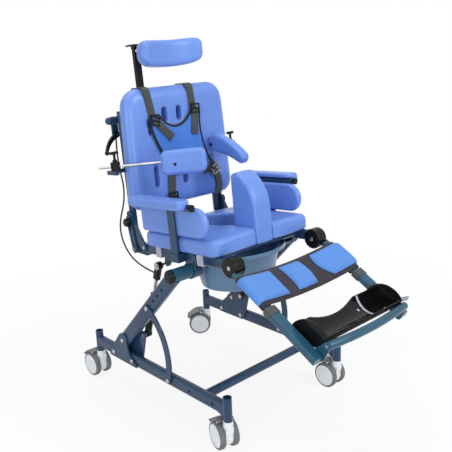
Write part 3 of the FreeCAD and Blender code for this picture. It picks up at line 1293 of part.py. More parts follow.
def shoulder_strap(x):
    """Webbing from the vest over the top of the back and down behind it."""
    front = BACK_FRONT - SEAT_GAP - STRAP_THICK
    rear = BACK_REAR + SEAT_GAP + STRAP_THICK
    top = BACK_TOP + SEAT_GAP + STRAP_THICK
    thick = STRAP_THICK
    near = BACK_FRONT_ROUND
    far = BACK_REAR_ROUND + STRAP_THICK
    diagonal = 1 - sqrt(0.5)
    outline = wire((front, STRAP_LOW), (front, top - near),
                   ((front + near * diagonal, top - near * diagonal), (front + near, top)),
                   (rear - far, top),
                   ((rear - far * diagonal, top - far * diagonal), (rear, top - far)), (rear, STRAP_TAIL),
                   (rear - thick, STRAP_TAIL), (rear - thick, top - far),
                   ((rear - thick - (far - thick) * diagonal, top - thick - (far - thick) * diagonal),
                    (rear - far, top - thick)), (front + near, top - thick),
                   ((front + thick + (near - thick) * diagonal, top - thick - (near - thick) * diagonal),
                    (front + thick, top - near)), (front + thick, STRAP_LOW))
    return side_plate(outline, x - STRAP_WIDTH / 2, x + STRAP_WIDTH / 2)


def hip_strap(top_x, low_x):
    """Webbing from the vest's lower corner to the foot of the back."""
    half = STRAP_WIDTH / 2
    top = VEST_LOW + HIP_STRAP_LAP
    outline = wire((top_x - half, top), (top_x + half, top), (low_x + half, HIP_STRAP_LOW),
                   (low_x - half, HIP_STRAP_LOW),
                   place=on_front)
    return slab(outline, Vec(0, STRAP_THICK, 0), Vec(0, BACK_FRONT - SEAT_GAP - STRAP_THICK, 0))


def buckle(x):
    """Slide buckle on the shoulder webbing."""
    wide, high, thick = BUCKLE
    front = VEST_U - SEAT_GAP - thick
    low = STRAP_LOW
    return rounded_box((x - wide / 2, x + wide / 2), (front, front + thick), (low, low + high),
                       BUCKLE_CORNER, Vec(0, 1, 0))


def make_harness():
    keep("chest_vest", seat(vest()))
    straps = [shoulder_strap(x) for x in STRAP_XS]
    for side, foot in zip((1, -1), HIP_STRAP_FEET):
        straps.append(hip_strap(vest_x(VEST_LOW, side * (VEST_HEM - HIP_STRAP_INSET)), foot))
    keep("harness_straps", *[seat(piece) for piece in straps + [buckle(x) for x in STRAP_XS]])


# Legrest, drawn straight out
def leg_upper():
    """Moving half of the knee ratchet with the upper leg tube."""
    start = KNEE_X + 0.5
    end = KNEE_X + KNEE_HALF
    disc = cross_pin(start, end, (0, 0), KNEE_R)
    rim = [edge for edge in disc.Edges if edge.BoundBox.XMin > KNEE_X + KNEE_HALF / 2]
    disc = disc.makeFillet(6.0, rim)
    wide, thick = LEG_TUBE
    tube = rounded_box((LEG_X - wide / 2, LEG_X + wide / 2), (-LEG_UPPER_END, -KNEE_R + 6),
                       (-thick / 2, thick / 2), LEG_CORNER,
                       Vec(0, 1, 0))
    return fused(disc, tube).cut(cross_pin(start - 1, KNEE_X + KNEE_HALF - 3, (0, 0), 6.0 + RUN_FIT))


def sling_arc():
    """Centre height and radius of the sling's sagging curve, which rests on the leg tubes' inner edges."""
    edge_x = LEG_X - LEG_TUBE[0] / 2 + LEG_CORNER
    edge_n = LEG_TUBE[1] / 2 - LEG_CORNER
    low = LEG_TUBE[1] / 2 - SLING_SAG
    reach = LEG_CORNER + SEAT_GAP
    drop = low - edge_n
    radius = (edge_x ** 2 + drop ** 2 - reach ** 2) / (2 * (reach - drop))
    return low + radius, radius


def sling_band(x_from, x_to, low_step, thick):
    """Strip that follows the sling's curve, low_step above it."""
    centre, radius = sling_arc()
    low = radius - low_step
    top = low - thick

    def at(r, x):
        return (x, centre - sqrt(r ** 2 - x ** 2))

    middle = (x_from + x_to) / 2
    outline = wire(at(low, x_from), (at(low, middle), at(low, x_to)), at(top, x_to),
                   (at(top, middle), at(top, x_from)),
                   place=on_front)
    return slab(outline, Vec(0, SLING_START - SLING_END, 0), Vec(0, -SLING_START, 0))


def calf_pad(x_from, x_to):
    """Pad on the sling with rounded corners."""
    pad = sling_band(x_from, x_to, SLING_THICK + SEAT_GAP, CALF_PAD_THICK)
    boxes = [(edge, edge.BoundBox) for edge in pad.Edges]
    corners = [edge for edge, room in boxes if room.YLength < 1 and room.XLength < CALF_PAD_THICK]
    return pad.makeFillet(8.0, corners)


def leg_lower():
    """Lower tube that slides over the upper one, with the footrest's pivot plate."""
    wide, thick = LEG_SLEEVE
    sleeve = rounded_box((LEG_X - wide / 2, LEG_X + wide / 2), (-LEG_END, -LEG_SLEEVE_START),
                         (-thick / 2, thick / 2), 5.0,
                         Vec(0, 1, 0))
    half_x = LEG_TUBE[0] / 2 + SEAT_GAP
    half_n = LEG_TUBE[1] / 2 + SEAT_GAP
    bore = box((LEG_X - half_x, LEG_X + half_x), (-LEG_END + PLUG, -LEG_SLEEVE_START + 1),
               (-half_n, half_n))
    s, n = leg_frame_point(FOOT_PIVOT)
    plate_in = LEG_X - wide / 2 - PLATE + 1
    plate = rounded_plate([(-s + 16, 0), (-s - 2, 0), (-s, n)], 10.0, plate_in, plate_in + PLATE)
    sleeve = fused(sleeve, plate).cut(bore)
    return sleeve.cut(cross_pin(plate_in - 1, plate_in + PLATE + 1, (-s, n), BOLT_R + RUN_FIT))


def leg_collar():
    """Plastic bush on the lower tube's mouth."""
    wide, thick = LEG_SLEEVE
    outer_x = wide / 2 + COLLAR_WALL
    outer_n = thick / 2 + COLLAR_WALL
    start = LEG_SLEEVE_START - COLLAR_LENGTH / 2
    ring = rounded_box((LEG_X - outer_x, LEG_X + outer_x), (-start - COLLAR_LENGTH, -start),
                       (-outer_n, outer_n), 6.0,
                       Vec(0, 1, 0))
    ring = ring.cut(rounded_box((LEG_X - wide / 2, LEG_X + wide / 2), (-LEG_END, -LEG_SLEEVE_START),
                                (-thick / 2, thick / 2), 5.0,
                                Vec(0, 1, 0)))
    half_x = LEG_TUBE[0] / 2 + SEAT_GAP
    half_n = LEG_TUBE[1] / 2 + SEAT_GAP
    return ring.cut(box((LEG_X - half_x, LEG_X + half_x), (-LEG_END, 0), (-half_n, half_n)))


def make_legrest():
    keep("leg_frame", *[leg(side) for side in both(leg_upper())])
    sling = sling_band(-LEG_X - LEG_TUBE[0] / 2, LEG_X + LEG_TUBE[0] / 2, 0, SLING_THICK)
    pads = [calf_pad(*limits) for limits in CALF_PADS]
    keep("calf_sling", leg(sling), *[leg(pad) for pad in pads])
    keep("leg_lower_tubes", *[leg(side) for side in both(leg_lower()) + both(leg_collar())])


# Footrest, in the chair's frame
PIVOT_PLATE_IN = LEG_X - LEG_SLEEVE[0] / 2 - PLATE + 1
FOOT_TUBE_END = PIVOT_PLATE_IN - 0.5


def gutter_centre():
    """Centre of the trough, which rests on the foot tube."""
    reach = GUTTER_R + FOOT_TUBE_D / 2
    turn = radians(GUTTER_SEAT_ANGLE)
    return (FOOT_PIVOT[0] + reach * cos(turn), FOOT_PIVOT[1] + reach * sin(turn))


def foot_tube():
    """Tube between the pivot plates, bowed forward in the middle, with its pivot pins."""
    y, z = FOOT_PIVOT
    bow_r = (FOOT_TUBE_END ** 2 + FOOT_TUBE_BOW ** 2) / (2 * FOOT_TUBE_BOW)
    centre = Vec(0, y - FOOT_TUBE_BOW + bow_r, z)
    half_turn = degrees(atan2(FOOT_TUBE_END + FOOT_TUBE_D / 4, bow_r - FOOT_TUBE_BOW))
    section = Part.Face(Part.Wire(Part.makeCircle(FOOT_TUBE_D / 2, Vec(0, y - FOOT_TUBE_BOW, z), X_AXIS)))
    section.rotate(centre, Z_AXIS, -half_turn)
    bow = section.revolve(centre, Z_AXIS, 2 * half_turn)
    room = box((-FOOT_TUBE_END, FOOT_TUBE_END), (y - FOOT_TUBE_D - FOOT_TUBE_BOW, y + FOOT_TUBE_D),
               (z - FOOT_TUBE_D, z + FOOT_TUBE_D))
    tube = bow.common(room)
    pin = cross_pin(FOOT_TUBE_END - FOOT_TUBE_D, PIVOT_PLATE_IN + PLATE - 0.5, FOOT_PIVOT, BOLT_R)
    return fused(tube, pin, mirrored(pin))


def foot_shell():
    """Moulded trough for the feet with half-round ends and a dipped heel wall."""
    y, z = gutter_centre()
    rim = radians(GUTTER_RIM_ANGLE)
    inner = GUTTER_R - GUTTER_WALL

    def at(radius, turn):
        return (y + radius * cos(turn), z + radius * sin(turn))

    left = radians(180) + rim
    trough = wire(at(GUTTER_R, -rim), (at(GUTTER_R, radians(-90)), at(GUTTER_R, left)), at(inner, left),
                  (at(inner, radians(-90)), at(inner, -rim)))
    body = side_plate(trough, -FOOT_HALF, FOOT_HALF)
    end = wire(at(GUTTER_R, -rim), (at(GUTTER_R, radians(-90)), at(GUTTER_R, left)),
               ((y, z + 6), at(GUTTER_R, -rim)))
    ends = [side_plate(end, -FOOT_HALF, -FOOT_HALF + GUTTER_WALL),
            side_plate(end, FOOT_HALF - GUTTER_WALL, FOOT_HALF)]
    heel_top = z - GUTTER_R * sin(rim)
    span = 0.62 * FOOT_HALF
    dip = wire((-span, heel_top + 4), ((0, heel_top - GUTTER_DIP), (span, heel_top + 4)), place=on_front)
    dip_cut = slab(dip, Vec(0, GUTTER_R, 0), Vec(0, y + GUTTER_R / 4, 0))
    return fused(body.cut(dip_cut), *ends)


def make_footrest():
    keep("foot_tube", foot_tube())
    keep("foot_shell", foot_shell())


make_base()
make_castors()
make_gas_springs()
make_seat_frame()
make_pan_and_pommel()
make_armrests()
make_back()
make_headrest()
make_laterals()
make_harness()
make_legrest()
make_footrest()

# Stand the chair with the middle of its box on the origin
BOX = Part.Compound(list(NODES.values())).optimalBoundingBox(False, False)
STAND = Vec(-BOX.Center.x, -BOX.Center.y, -BOX.ZMin)
os.makedirs("parts", exist_ok=True)
for node_name, node_shape in NODES.items():
    node_shape.translate(STAND)
    node_shape.exportStep("parts/" + node_name + ".step")
print(len(NODES), "nodes, box", [round(size, 1) for size in (BOX.XLength, BOX.YLength, BOX.ZLength)],
      "moved", STAND)
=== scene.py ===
from math import cos, pi, radians, sin, sqrt

import bmesh
import bpy
import numpy as np
from mathutils import Matrix, Vector


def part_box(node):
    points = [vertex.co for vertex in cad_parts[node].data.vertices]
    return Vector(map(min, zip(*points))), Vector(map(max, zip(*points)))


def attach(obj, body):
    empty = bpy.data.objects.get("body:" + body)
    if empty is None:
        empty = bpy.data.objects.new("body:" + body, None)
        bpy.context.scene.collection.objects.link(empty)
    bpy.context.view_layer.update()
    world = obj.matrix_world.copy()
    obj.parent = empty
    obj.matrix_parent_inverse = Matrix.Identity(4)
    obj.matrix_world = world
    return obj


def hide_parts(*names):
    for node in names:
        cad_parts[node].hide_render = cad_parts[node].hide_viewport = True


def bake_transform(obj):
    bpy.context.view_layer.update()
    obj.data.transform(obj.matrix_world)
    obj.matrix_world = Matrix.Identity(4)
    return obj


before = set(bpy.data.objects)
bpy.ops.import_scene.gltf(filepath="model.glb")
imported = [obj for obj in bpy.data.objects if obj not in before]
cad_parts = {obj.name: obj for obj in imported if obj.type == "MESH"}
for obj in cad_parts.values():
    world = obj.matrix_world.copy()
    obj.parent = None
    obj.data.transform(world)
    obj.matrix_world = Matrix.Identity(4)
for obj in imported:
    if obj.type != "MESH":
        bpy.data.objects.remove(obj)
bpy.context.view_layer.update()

# Places: points are given in millimetres, as the chair was drawn, and turned into the frame's metres here.
POSTS_LOW, POSTS_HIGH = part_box("corner_posts")
BASE_Y = 500 * (POSTS_LOW.y + POSTS_HIGH.y)     # middle of the base behind the origin
TILT = radians(5.0)                     # the seat unit's tilt in the photographed pose
TILT_Y = BASE_Y - 114.0                 # tilt axis, ahead of the base's middle
TILT_Z = 463.0                          # tilt axis above the floor
KNEE_U, KNEE_W = -169.5, 32.4           # knee axis on the seat unit
DROP = radians(29.0)                    # the legrest's drop below level
GUTTER_Y, GUTTER_Z = -530.2, 423.87     # middle of the foot shell's trough, from the base's middle
GUTTER_INSIDE = 58.0                    # radius of the trough's inside


def chair(x, y, z):
    """Point of the base, measured from the middle of its four posts on the floor."""
    return Vector((x, y + BASE_Y, z)) / 1000


def seat(x, u, w):
    """Point of the seat unit: u to the rear and w up from the tilt axis."""
    y = TILT_Y + u * cos(TILT) + w * sin(TILT)
    z = TILT_Z - u * sin(TILT) + w * cos(TILT)
    return Vector((x, y, z)) / 1000


def seat_line(*points):
    return [seat(*point) for point in points]


def seat_back(points):
    """Rows of (x, u, w) in millimetres from an array of frame points in metres."""
    y = points[:, 1] * 1000 - TILT_Y
    z = points[:, 2] * 1000 - TILT_Z
    u = y * cos(TILT) - z * sin(TILT)
    w = y * sin(TILT) + z * cos(TILT)
    return np.stack([points[:, 0] * 1000, u, w], 1)


def seat_spot(point):
    """(x, u, w) of one frame point."""
    return seat_back(np.array([point]))[0]


def leg(x, s, n):
    """Point of the legrest: s down the leg from the knee axis and n above the tubes' middle."""
    knee = seat(0, KNEE_U, KNEE_W) * 1000
    y = knee.y - s * cos(DROP) - n * sin(DROP)
    z = knee.z - s * sin(DROP) + n * cos(DROP)
    return Vector((x, y, z)) / 1000


def leg_back(point):
    """(s, n) of a frame point on the legrest."""
    off = (point - leg(0, 0, 0)) * 1000
    return -off.y * cos(DROP) - off.z * sin(DROP), -off.y * sin(DROP) + off.z * cos(DROP)


def gutter(x, turn, off):
    """Point over the inside of the foot shell, turn in degrees from the rear over the top."""
    reach = GUTTER_INSIDE - off
    return chair(x, GUTTER_Y + reach * cos(radians(turn)), GUTTER_Z + reach * sin(radians(turn)))


# Materials
def new_material(name, roughness, metallic=0.0, **sockets):
    material = bpy.data.materials.new(name)
    material.use_nodes = True
    shader = shader_of(material)
    shader.inputs["Roughness"].default_value = roughness
    shader.inputs["Metallic"].default_value = metallic
    for socket, value in sockets.items():
        shader.inputs[socket.replace("_", " ")].default_value = value
    return material


def shader_of(material):
    return material.node_tree.nodes["Principled BSDF"]


def add_node(owner, kind, **inputs):
    """New node of a material or of the world, with values for its inputs."""
    made = owner.node_tree.nodes.new(kind)
    for socket, value in inputs.items():
        made.inputs[socket.replace("_", " ")].default_value = value
    return made


def link(owner, source, target):
    owner.node_tree.links.new(source, target)


def place(material, stretch=(1, 1, 1)):
    """Object coordinates in metres, stretched along the axes."""
    spot = add_node(material, "ShaderNodeTexCoord")
    mapping = add_node(material, "ShaderNodeMapping", Scale=stretch)
    link(material, spot.outputs["Object"], mapping.inputs["Vector"])
    return mapping.outputs["Vector"]


def noise(material, scale, detail=3.0, stretch=(1, 1, 1)):
    made = add_node(material, "ShaderNodeTexNoise", Scale=scale, Detail=detail)
    link(material, place(material, stretch), made.inputs["Vector"])
    return made.outputs["Fac"]


def cells(material, scale):
    made = add_node(material, "ShaderNodeTexVoronoi", Scale=scale)
    link(material, place(material), made.inputs["Vector"])
    return made.outputs["Distance"]


def waves(material, scale, direction, distortion):
    made = add_node(material, "ShaderNodeTexWave", Scale=scale, Distortion=distortion)
    made.bands_direction = direction
    link(material, place(material), made.inputs["Vector"])
    return made.outputs["Fac"]


def mottle(material, fac, dark, light, low=0.3, high=0.7):
    """Colour that drifts between two shades."""
    ramp = add_node(material, "ShaderNodeValToRGB")
    first, last = ramp.color_ramp.elements
    first.position, last.position = low, high
    first.color, last.color = (*dark, 1), (*light, 1)
    link(material, fac, ramp.inputs["Fac"])
    link(material, ramp.outputs["Color"], shader_of(material).inputs["Base Color"])


def roughen(material, fac, low, high):
    """Roughness that drifts between two values."""
    spread = add_node(material, "ShaderNodeMapRange", To_Min=low, To_Max=high)
    link(material, fac, spread.inputs["Value"])
    link(material, spread.outputs["Result"], shader_of(material).inputs["Roughness"])


def emboss(material, *heights, strength, distance):
    """Chain of bumps from height fields."""
    normal = None
    for height in heights:
        bump = add_node(material, "ShaderNodeBump", Strength=strength, Distance=distance)
        link(material, height, bump.inputs["Height"])
        if normal is not None:
            link(material, normal, bump.inputs["Normal"])
        normal = bump.outputs["Normal"]
    link(material, normal, shader_of(material).inputs["Normal"])


def powder_coat(name, dark, light):
    material = new_material(name, 0.2, Specular_IOR_Level=0.3, Coat_Weight=0.12, Coat_Roughness=0.06)
    mottle(material, noise(material, 14), dark, light)
    roughen(material, noise(material, 60), 0.16, 0.28)
    emboss(material, noise(material, 900, 2), strength=0.06, distance=0.0003)
    return material


def moulded(name, dark, light, rough, shine=0.4, grain=1400):
    material = new_material(name, rough, Specular_IOR_Level=shine)
    mottle(material, noise(material, 25), dark, light)
    roughen(material, noise(material, 90), max(rough - 0.06, 0.02), rough + 0.08)
    emboss(material, noise(material, grain, 2), strength=0.08, distance=0.0002)
    return material


def bright_metal(name, dark, light, rough):
    material = new_material(name, rough, metallic=1.0)
    mottle(material, noise(material, 40), dark, light)
    roughen(material, noise(material, 700, 2, (1, 12, 12)), rough - 0.06, rough + 0.1)
    emboss(material, noise(material, 1200, 2, (1, 20, 20)), strength=0.05, distance=0.0001)
    return material


def skin_foam(name, dark, light):
    """Soft moulded foam with a fine leather-like skin."""
    material = new_material(name, 0.3, Specular_IOR_Level=0.45, Sheen_Weight=0.05, Sheen_Roughness=0.4)
    mottle(material, noise(material, 9, 4), dark, light, 0.25, 0.75)
    roughen(material, noise(material, 120), 0.24, 0.36)
    emboss(material, cells(material, 900), noise(material, 240, 4), strength=0.14, distance=0.0003)
    return material


def cloth(name, dark, light, pitch):
    """Plain weave: two sets of threads across each other."""
    material = new_material(name, 0.85, Specular_IOR_Level=0.2, Sheen_Weight=0.1, Sheen_Roughness=0.5)
    mottle(material, noise(material, 260, 4), dark, light)
    roughen(material, noise(material, 500), 0.75, 0.95)
    threads = [waves(material, pitch, direction, 1.2) for direction in ("X", "DIAGONAL")]
    emboss(material, *threads, noise(material, 900), strength=0.22, distance=0.0004)
    return material


def pan_plastic(name, dark, light):
    """Slightly clear plastic."""
    material = new_material(name, 0.22, Transmission_Weight=0.18, IOR=1.45, Specular_IOR_Level=0.4)
    mottle(material, noise(material, 8), dark, light)
    roughen(material, noise(material, 70), 0.16, 0.3)
    emboss(material, noise(material, 500, 2), strength=0.05, distance=0.0003)
    return material


PAINT = powder_coat("frame_paint", (0.012, 0.041, 0.094), (0.018, 0.055, 0.12))
TEAL = powder_coat("leg_paint", (0.014, 0.072, 0.12), (0.02, 0.092, 0.15))
STEEL = bright_metal("bright_steel", (0.36, 0.36, 0.37), (0.5, 0.5, 0.51), 0.3)
GLOSS = moulded("black_gloss", (0.004, 0.004, 0.005), (0.008, 0.008, 0.009), 0.12, 0.2)
UNDERSIDE = moulded("black_underside", (0.005, 0.005, 0.006), (0.01, 0.01, 0.011), 0.6, 0.05)
COLLAR = moulded("collar_grey", (0.04, 0.042, 0.046), (0.07, 0.072, 0.078), 0.35)
SATIN = moulded("black_satin", (0.007, 0.007, 0.008), (0.014, 0.014, 0.016), 0.36, 0.14)
WHITE = moulded("castor_white", (0.8, 0.81, 0.82), (0.87, 0.88, 0.89), 0.28)
TREAD = moulded("castor_tread", (0.13, 0.135, 0.14), (0.18, 0.185, 0.19), 0.6, 0.3, 700)
PEDAL = moulded("pedal_grey", (0.15, 0.155, 0.16), (0.2, 0.205, 0.21), 0.45)
CLIP = moulded("clip_grey", (0.44, 0.43, 0.5), (0.54, 0.53, 0.6), 0.4)
FOAM = skin_foam("blue_foam", (0.115, 0.225, 0.62), (0.148, 0.278, 0.71))
CALF = cloth("calf_blue", (0.09, 0.24, 0.62), (0.12, 0.288, 0.71), 420)
VEST = cloth("vest_blue", (0.055, 0.19, 0.6), (0.08, 0.235, 0.69), 500)
SLING = cloth("sling_charcoal", (0.03, 0.027, 0.034), (0.05, 0.044, 0.054), 360)
WEBBING = cloth("webbing", (0.055, 0.055, 0.054), (0.085, 0.084, 0.08), 700)
BINDING = cloth("binding", (0.014, 0.014, 0.02), (0.026, 0.026, 0.036), 700)
SLIDE = moulded("slide_grey", (0.28, 0.27, 0.24), (0.36, 0.35, 0.32), 0.4)
SHEATH = moulded("cable_sheath", (0.012, 0.012, 0.013), (0.02, 0.02, 0.022), 0.4)
PAN = pan_plastic("pan_plastic", (0.11, 0.215, 0.35), (0.15, 0.275, 0.43))

# Finish of the solids whose name starts so; every other solid is in the frame's paint.
NODE_MATERIALS = {
    "tilt_hubs": TEAL, "leg_lower_tubes": TEAL, "foot_tube": TEAL, "leg_frame": TEAL,
    "base_bolts": STEEL, "seat_pins": STEEL, "gas_rods": STEEL, "lateral_rod": STEEL,
    "tube_plugs": GLOSS, "knee_housings": GLOSS, "foot_shell": GLOSS, "release_lever": GLOSS,
    "hand_knobs": GLOSS, "gas_cylinders": SATIN, "lateral_block": SATIN, "headrest_arm": SATIN,
    "headrest_post": SATIN, "castor_fork": WHITE, "castor_wheels": TREAD, "castor_pedal": PEDAL,
    "cushion_clips": CLIP, "commode_pan": PAN,
}
FRAME_EASE = 0.0007             # width of the frame's eased edges, in metres
FRAME_CREASE = radians(35)      # sharper edges of the frame are not shaded smooth
EASED_ANGLE = radians(40)       # sharper edges are eased
CREASE = radians(50)            # sharper edges of the added pieces are not shaded smooth

# Limits of the second finishes: radii and widths in metres, places on the seat unit and leg in millimetres
CASTOR_TURNS = {"front_left": 0, "front_right": -16, "rear_left": 47, "rear_right": 0}      # degrees
WHEEL_DISC = 0.0335             # radius of the disc inside the tread
KNEE_DISC = 0.0302
COLLAR_END = 176.0              # down the leg
SHELL_HALF_WALL = 2.0           # faces further out belong to the foot shell's underside
FOOT_TUBE_HALF = 0.1616         # half the width of the painted part
GAS_PIN_U, GAS_PIN_W = 114, 4   # upper pins of the gas springs, inside the release heads
RELEASE_R = 0.052               # reach of the release heads round the pins
ARM_CAP_U = -63.5               # rear end of the armrest tubes' caps


def finish_of(node):
    for start, material in NODE_MATERIALS.items():
        if node.startswith(start):
            return material
    return PAINT


def one_finish(mesh, material):
    mesh.materials.clear()
    mesh.materials.append(material)
    for face in mesh.polygons:
        face.material_index = 0


def ease_edges(piece, width):
    ease = piece.modifiers.new("eased_edges", "BEVEL")
    ease.width = width
    ease.segments = 2
    ease.limit_method = "ANGLE"
    ease.angle_limit = EASED_ANGLE


def dress_frame():
    """Finish every solid and ease its sharp edges."""
    for name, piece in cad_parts.items():
        one_finish(piece.data, finish_of(name))
        ease_edges(piece, FRAME_EASE)
        piece.data.set_sharp_from_angle(angle=FRAME_CREASE)


def second_finish(node, material, inside):
    """Another finish for the faces whose middle, in metres, passes the test."""
    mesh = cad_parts[node].data
    mesh.materials.append(material)
    last = len(mesh.materials) - 1
    for face in mesh.polygons:
        if inside(face.center):
            face.material_index = last


def near_axis(axis_point, reach, across=(1, 0)):
    """Test for spots closer than reach to a level axis through axis_point."""
    way = Vector((*across, 0))

    def inside(spot):
        off = spot - axis_point
        return (off - way * off.dot(way)).length < reach
    return inside


def dress_details():
    """Parts of one solid that have their own finish."""
    for corner, degrees in CASTOR_TURNS.items():
        wheels = "castor_wheels_" + corner
        low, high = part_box(wheels)
        turn = radians(degrees)
        second_finish(wheels, WHITE, near_axis((low + high) / 2, WHEEL_DISC, (cos(turn), sin(turn))))
    second_finish("leg_frame", GLOSS, near_axis(leg(0, 0, 0), KNEE_DISC))
    second_finish("leg_lower_tubes", COLLAR, lambda spot: leg_back(spot)[0] < COLLAR_END)
    within = near_axis(chair(0, GUTTER_Y, GUTTER_Z), (GUTTER_INSIDE + SHELL_HALF_WALL) / 1000)
    second_finish("foot_shell", UNDERSIDE, lambda spot: not within(spot))
    second_finish("foot_tube", STEEL, lambda spot: abs(spot.x) > FOOT_TUBE_HALF)
    second_finish("gas_rods", SATIN, near_axis(seat(0, GAS_PIN_U, GAS_PIN_W), RELEASE_R))
    for side in ("left", "right"):
        second_finish("armrest_frame_" + side, GLOSS, lambda spot: seat_spot(spot)[1] < ARM_CAP_U)


# Building pieces
def add_piece(name, verts, faces, material, body, smooth=True):
    """New piece that rides on a body, or on none yet."""
    mesh = bpy.data.meshes.new(name)
    mesh.from_pydata([tuple(v) for v in verts], [], faces)
    mesh.materials.append(material)
    piece = bpy.data.objects.new(name, mesh)
    bpy.context.scene.collection.objects.link(piece)
    work = bmesh.new()
    work.from_mesh(mesh)
    bmesh.ops.recalc_face_normals(work, faces=work.faces)
    work.to_mesh(mesh)
    work.free()
    if smooth:
        mesh.shade_smooth()
    if body:
        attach(piece, body)
    return piece


def loft(rings):
    """Vertices and faces of a closed skin through rings of the same number of points."""
    count = len(rings[0])
    verts = [spot for ring in rings for spot in ring]
    faces = [tuple(range(count)), tuple(range(len(verts) - count, len(verts)))]
    for start in range(0, len(verts) - count, count):
        for k in range(count):
            after = (k + 1) % count
            faces.append((start + k, start + after, start + count + after, start + count + k))
    return verts, faces


def round_ring(centre, across, up, radius, sides):
    turns = [2 * pi * k / sides for k in range(sides)]
    return [centre + (across * cos(turn) + up * sin(turn)) * radius for turn in turns]


def heading(line, i):
    """Direction of a line at its point i."""
    return (line[min(i + 1, len(line) - 1)] - line[max(i - 1, 0)]).normalized()


def closed_grid(name, spot, rows, columns, material, body):
    """Closed piece between two layers of a grid, and its border. spot(side, t, c) gives the points, with side
    0 or 1 and with t and c from -1 to 1."""
    across = columns + 1
    layer = (rows + 1) * across
    verts = []
    for side in (0, 1):
        for r in range(rows + 1):
            verts += [spot(side, 2 * r / rows - 1, 2 * k / columns - 1) for k in range(across)]
    faces = []
    for r in range(rows):
        for k in range(columns):
            a = r * across + k
            quad = (a, a + 1, a + across + 1, a + across)
            faces += [quad, tuple(layer + i for i in reversed(quad))]
    border = list(range(across))
    border += [r * across + columns for r in range(1, rows + 1)]
    border += [rows * across + k for k in range(columns - 1, -1, -1)]
    border += [r * across for r in range(rows - 1, 0, -1)]
    for a, b in zip(border, border[1:] + border[:1]):
        faces.append((a, b, layer + b, layer + a))
    piece = add_piece(name, verts, faces, material, body)
    return piece, [(verts[i] + verts[layer + i]) / 2 for i in border]


def subdivide(piece):
    rounded = piece.modifiers.new("subdivision", "SUBSURF")
    rounded.levels = 1
    rounded.render_levels = 1


def read_points(mesh):
    flat = np.zeros(len(mesh.vertices) * 3, np.float32)
    mesh.vertices.foreach_get("co", flat)
    return flat.reshape(-1, 3).astype(float)


def write_points(mesh, points):
    mesh.vertices.foreach_set("co", points.astype(np.float32).ravel())
    mesh.update()


def soften(mesh, rounds):
    work = bmesh.new()
    work.from_mesh(mesh)
    for _ in range(rounds):
        bmesh.ops.smooth_vert(work, verts=work.verts, factor=0.5,
                              use_axis_x=True, use_axis_y=True, use_axis_z=True)
    work.to_mesh(mesh)
    work.free()


# Release cable: points of its route on the seat unit
CABLE_WIDE = 0.005
CABLE_SIDES = 14
CABLE_ROUTE = (
    (-176, 292.8, 372.2), (-176, 299, 327), (-172, 300, 274), (-174, 287, 222),
    (-186, 281, 174), (-199, 292, 128), (-205, 293, 84), (-205, 275, 37),
    (-205, 236, 4), (-205, 182, -14), (-205, 136.9, -20.8),
)


def smooth_route(points):
    """Points read along the smooth line that the route's points control."""
    curve = bpy.data.curves.new("route", "CURVE")
    curve.dimensions = "3D"
    line = curve.splines.new("NURBS")
    line.points.add(len(points) - 1)
    for point, spot in zip(line.points, points):
        point.co = (*spot, 1)
    line.order_u = 3
    line.use_endpoint_u = True
    line.resolution_u = 8
    holder = bpy.data.objects.new("route", curve)
    traced = bpy.data.meshes.new_from_object(holder)
    spots = [vert.co.copy() for vert in traced.vertices]
    bpy.data.objects.remove(holder)
    bpy.data.curves.remove(curve)
    bpy.data.meshes.remove(traced)
    return spots


def make_cable():
    """Sheathed cable from the lever on the back down to the gas spring's release head."""
    path = smooth_route(seat_line(*CABLE_ROUTE))
    rings = []
    across = Vector((1, 0, 0))
    for i, spot in enumerate(path):
        way = heading(path, i)
        across = (across - way * across.dot(way)).normalized()
        rings.append(round_ring(spot, across, way.cross(across), CABLE_WIDE / 2, CABLE_SIDES))
    cable = add_piece("release_cable", *loft(rings), SHEATH, None)
    cable.data.set_sharp_from_angle(angle=CREASE)
    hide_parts("tilt_cable")
    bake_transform(cable)
    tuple(path[0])


# Cushions: sizes in millimetres, and shares of a pad's half width or half height
BACK_FRONT_ROUND, BACK_REAR_ROUND = 22.0, 28.0
TOP_CORNER, TOP_CORNER_SHARE = 70.0, 0.45           # height of the back's top corners, and how far they go in
HEAD_END_DEPTH, HEAD_END_POWER = 0.97, 7            # how far and how late the headrest's ends round off
HEAD_TOP = 0.9                                      # height of the top edge in the middle
HEAD_TOP_LEFT, HEAD_TOP_RIGHT = 0.2, 0.1            # rise of the top edge towards each end
HEAD_FOOT_LEFT, HEAD_FOOT_RIGHT = 0.26, 0.1         # rise of the lower edge towards each end
ROD_TURN = radians(43.4)                            # lateral rods, from across the chair towards the front
TRUNK_SHORTER, TRUNK_HEIGHT = 0.12, 0.78            # the right trunk pad against its solid


def cushion(node, body, flat=(), voxel=0.005, rounds=5, proud=1.5, form=None):
    """Moulded foam in a soft solid's space. Faces named in flat, such as "w-", stay on the solid's limit."""
    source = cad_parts[node].data.copy()
    piece = bpy.data.objects.new(node + "_pad", source)
    bpy.context.scene.collection.objects.link(piece)
    limits = seat_back(read_points(source))
    low, high = limits.min(0), limits.max(0)
    bpy.context.view_layer.objects.active = piece
    source.remesh_voxel_size = voxel
    bpy.ops.object.voxel_remesh()
    mesh = piece.data
    soften(mesh, rounds)
    local = seat_back(read_points(mesh))
    for axis, letter in enumerate("xuw"):
        lowest = low[axis] - (0 if letter + "-" in flat else proud)
        highest = high[axis] + (0 if letter + "+" in flat else proud)
        local[:, axis] = np.clip(local[:, axis], lowest, highest)
    if form:
        local = form(local, low, high)
    write_points(mesh, np.array(seat_line(*local)))
    one_finish(mesh, FOAM)
    mesh.shade_smooth()
    subdivide(piece)
    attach(piece, body)
    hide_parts(node)


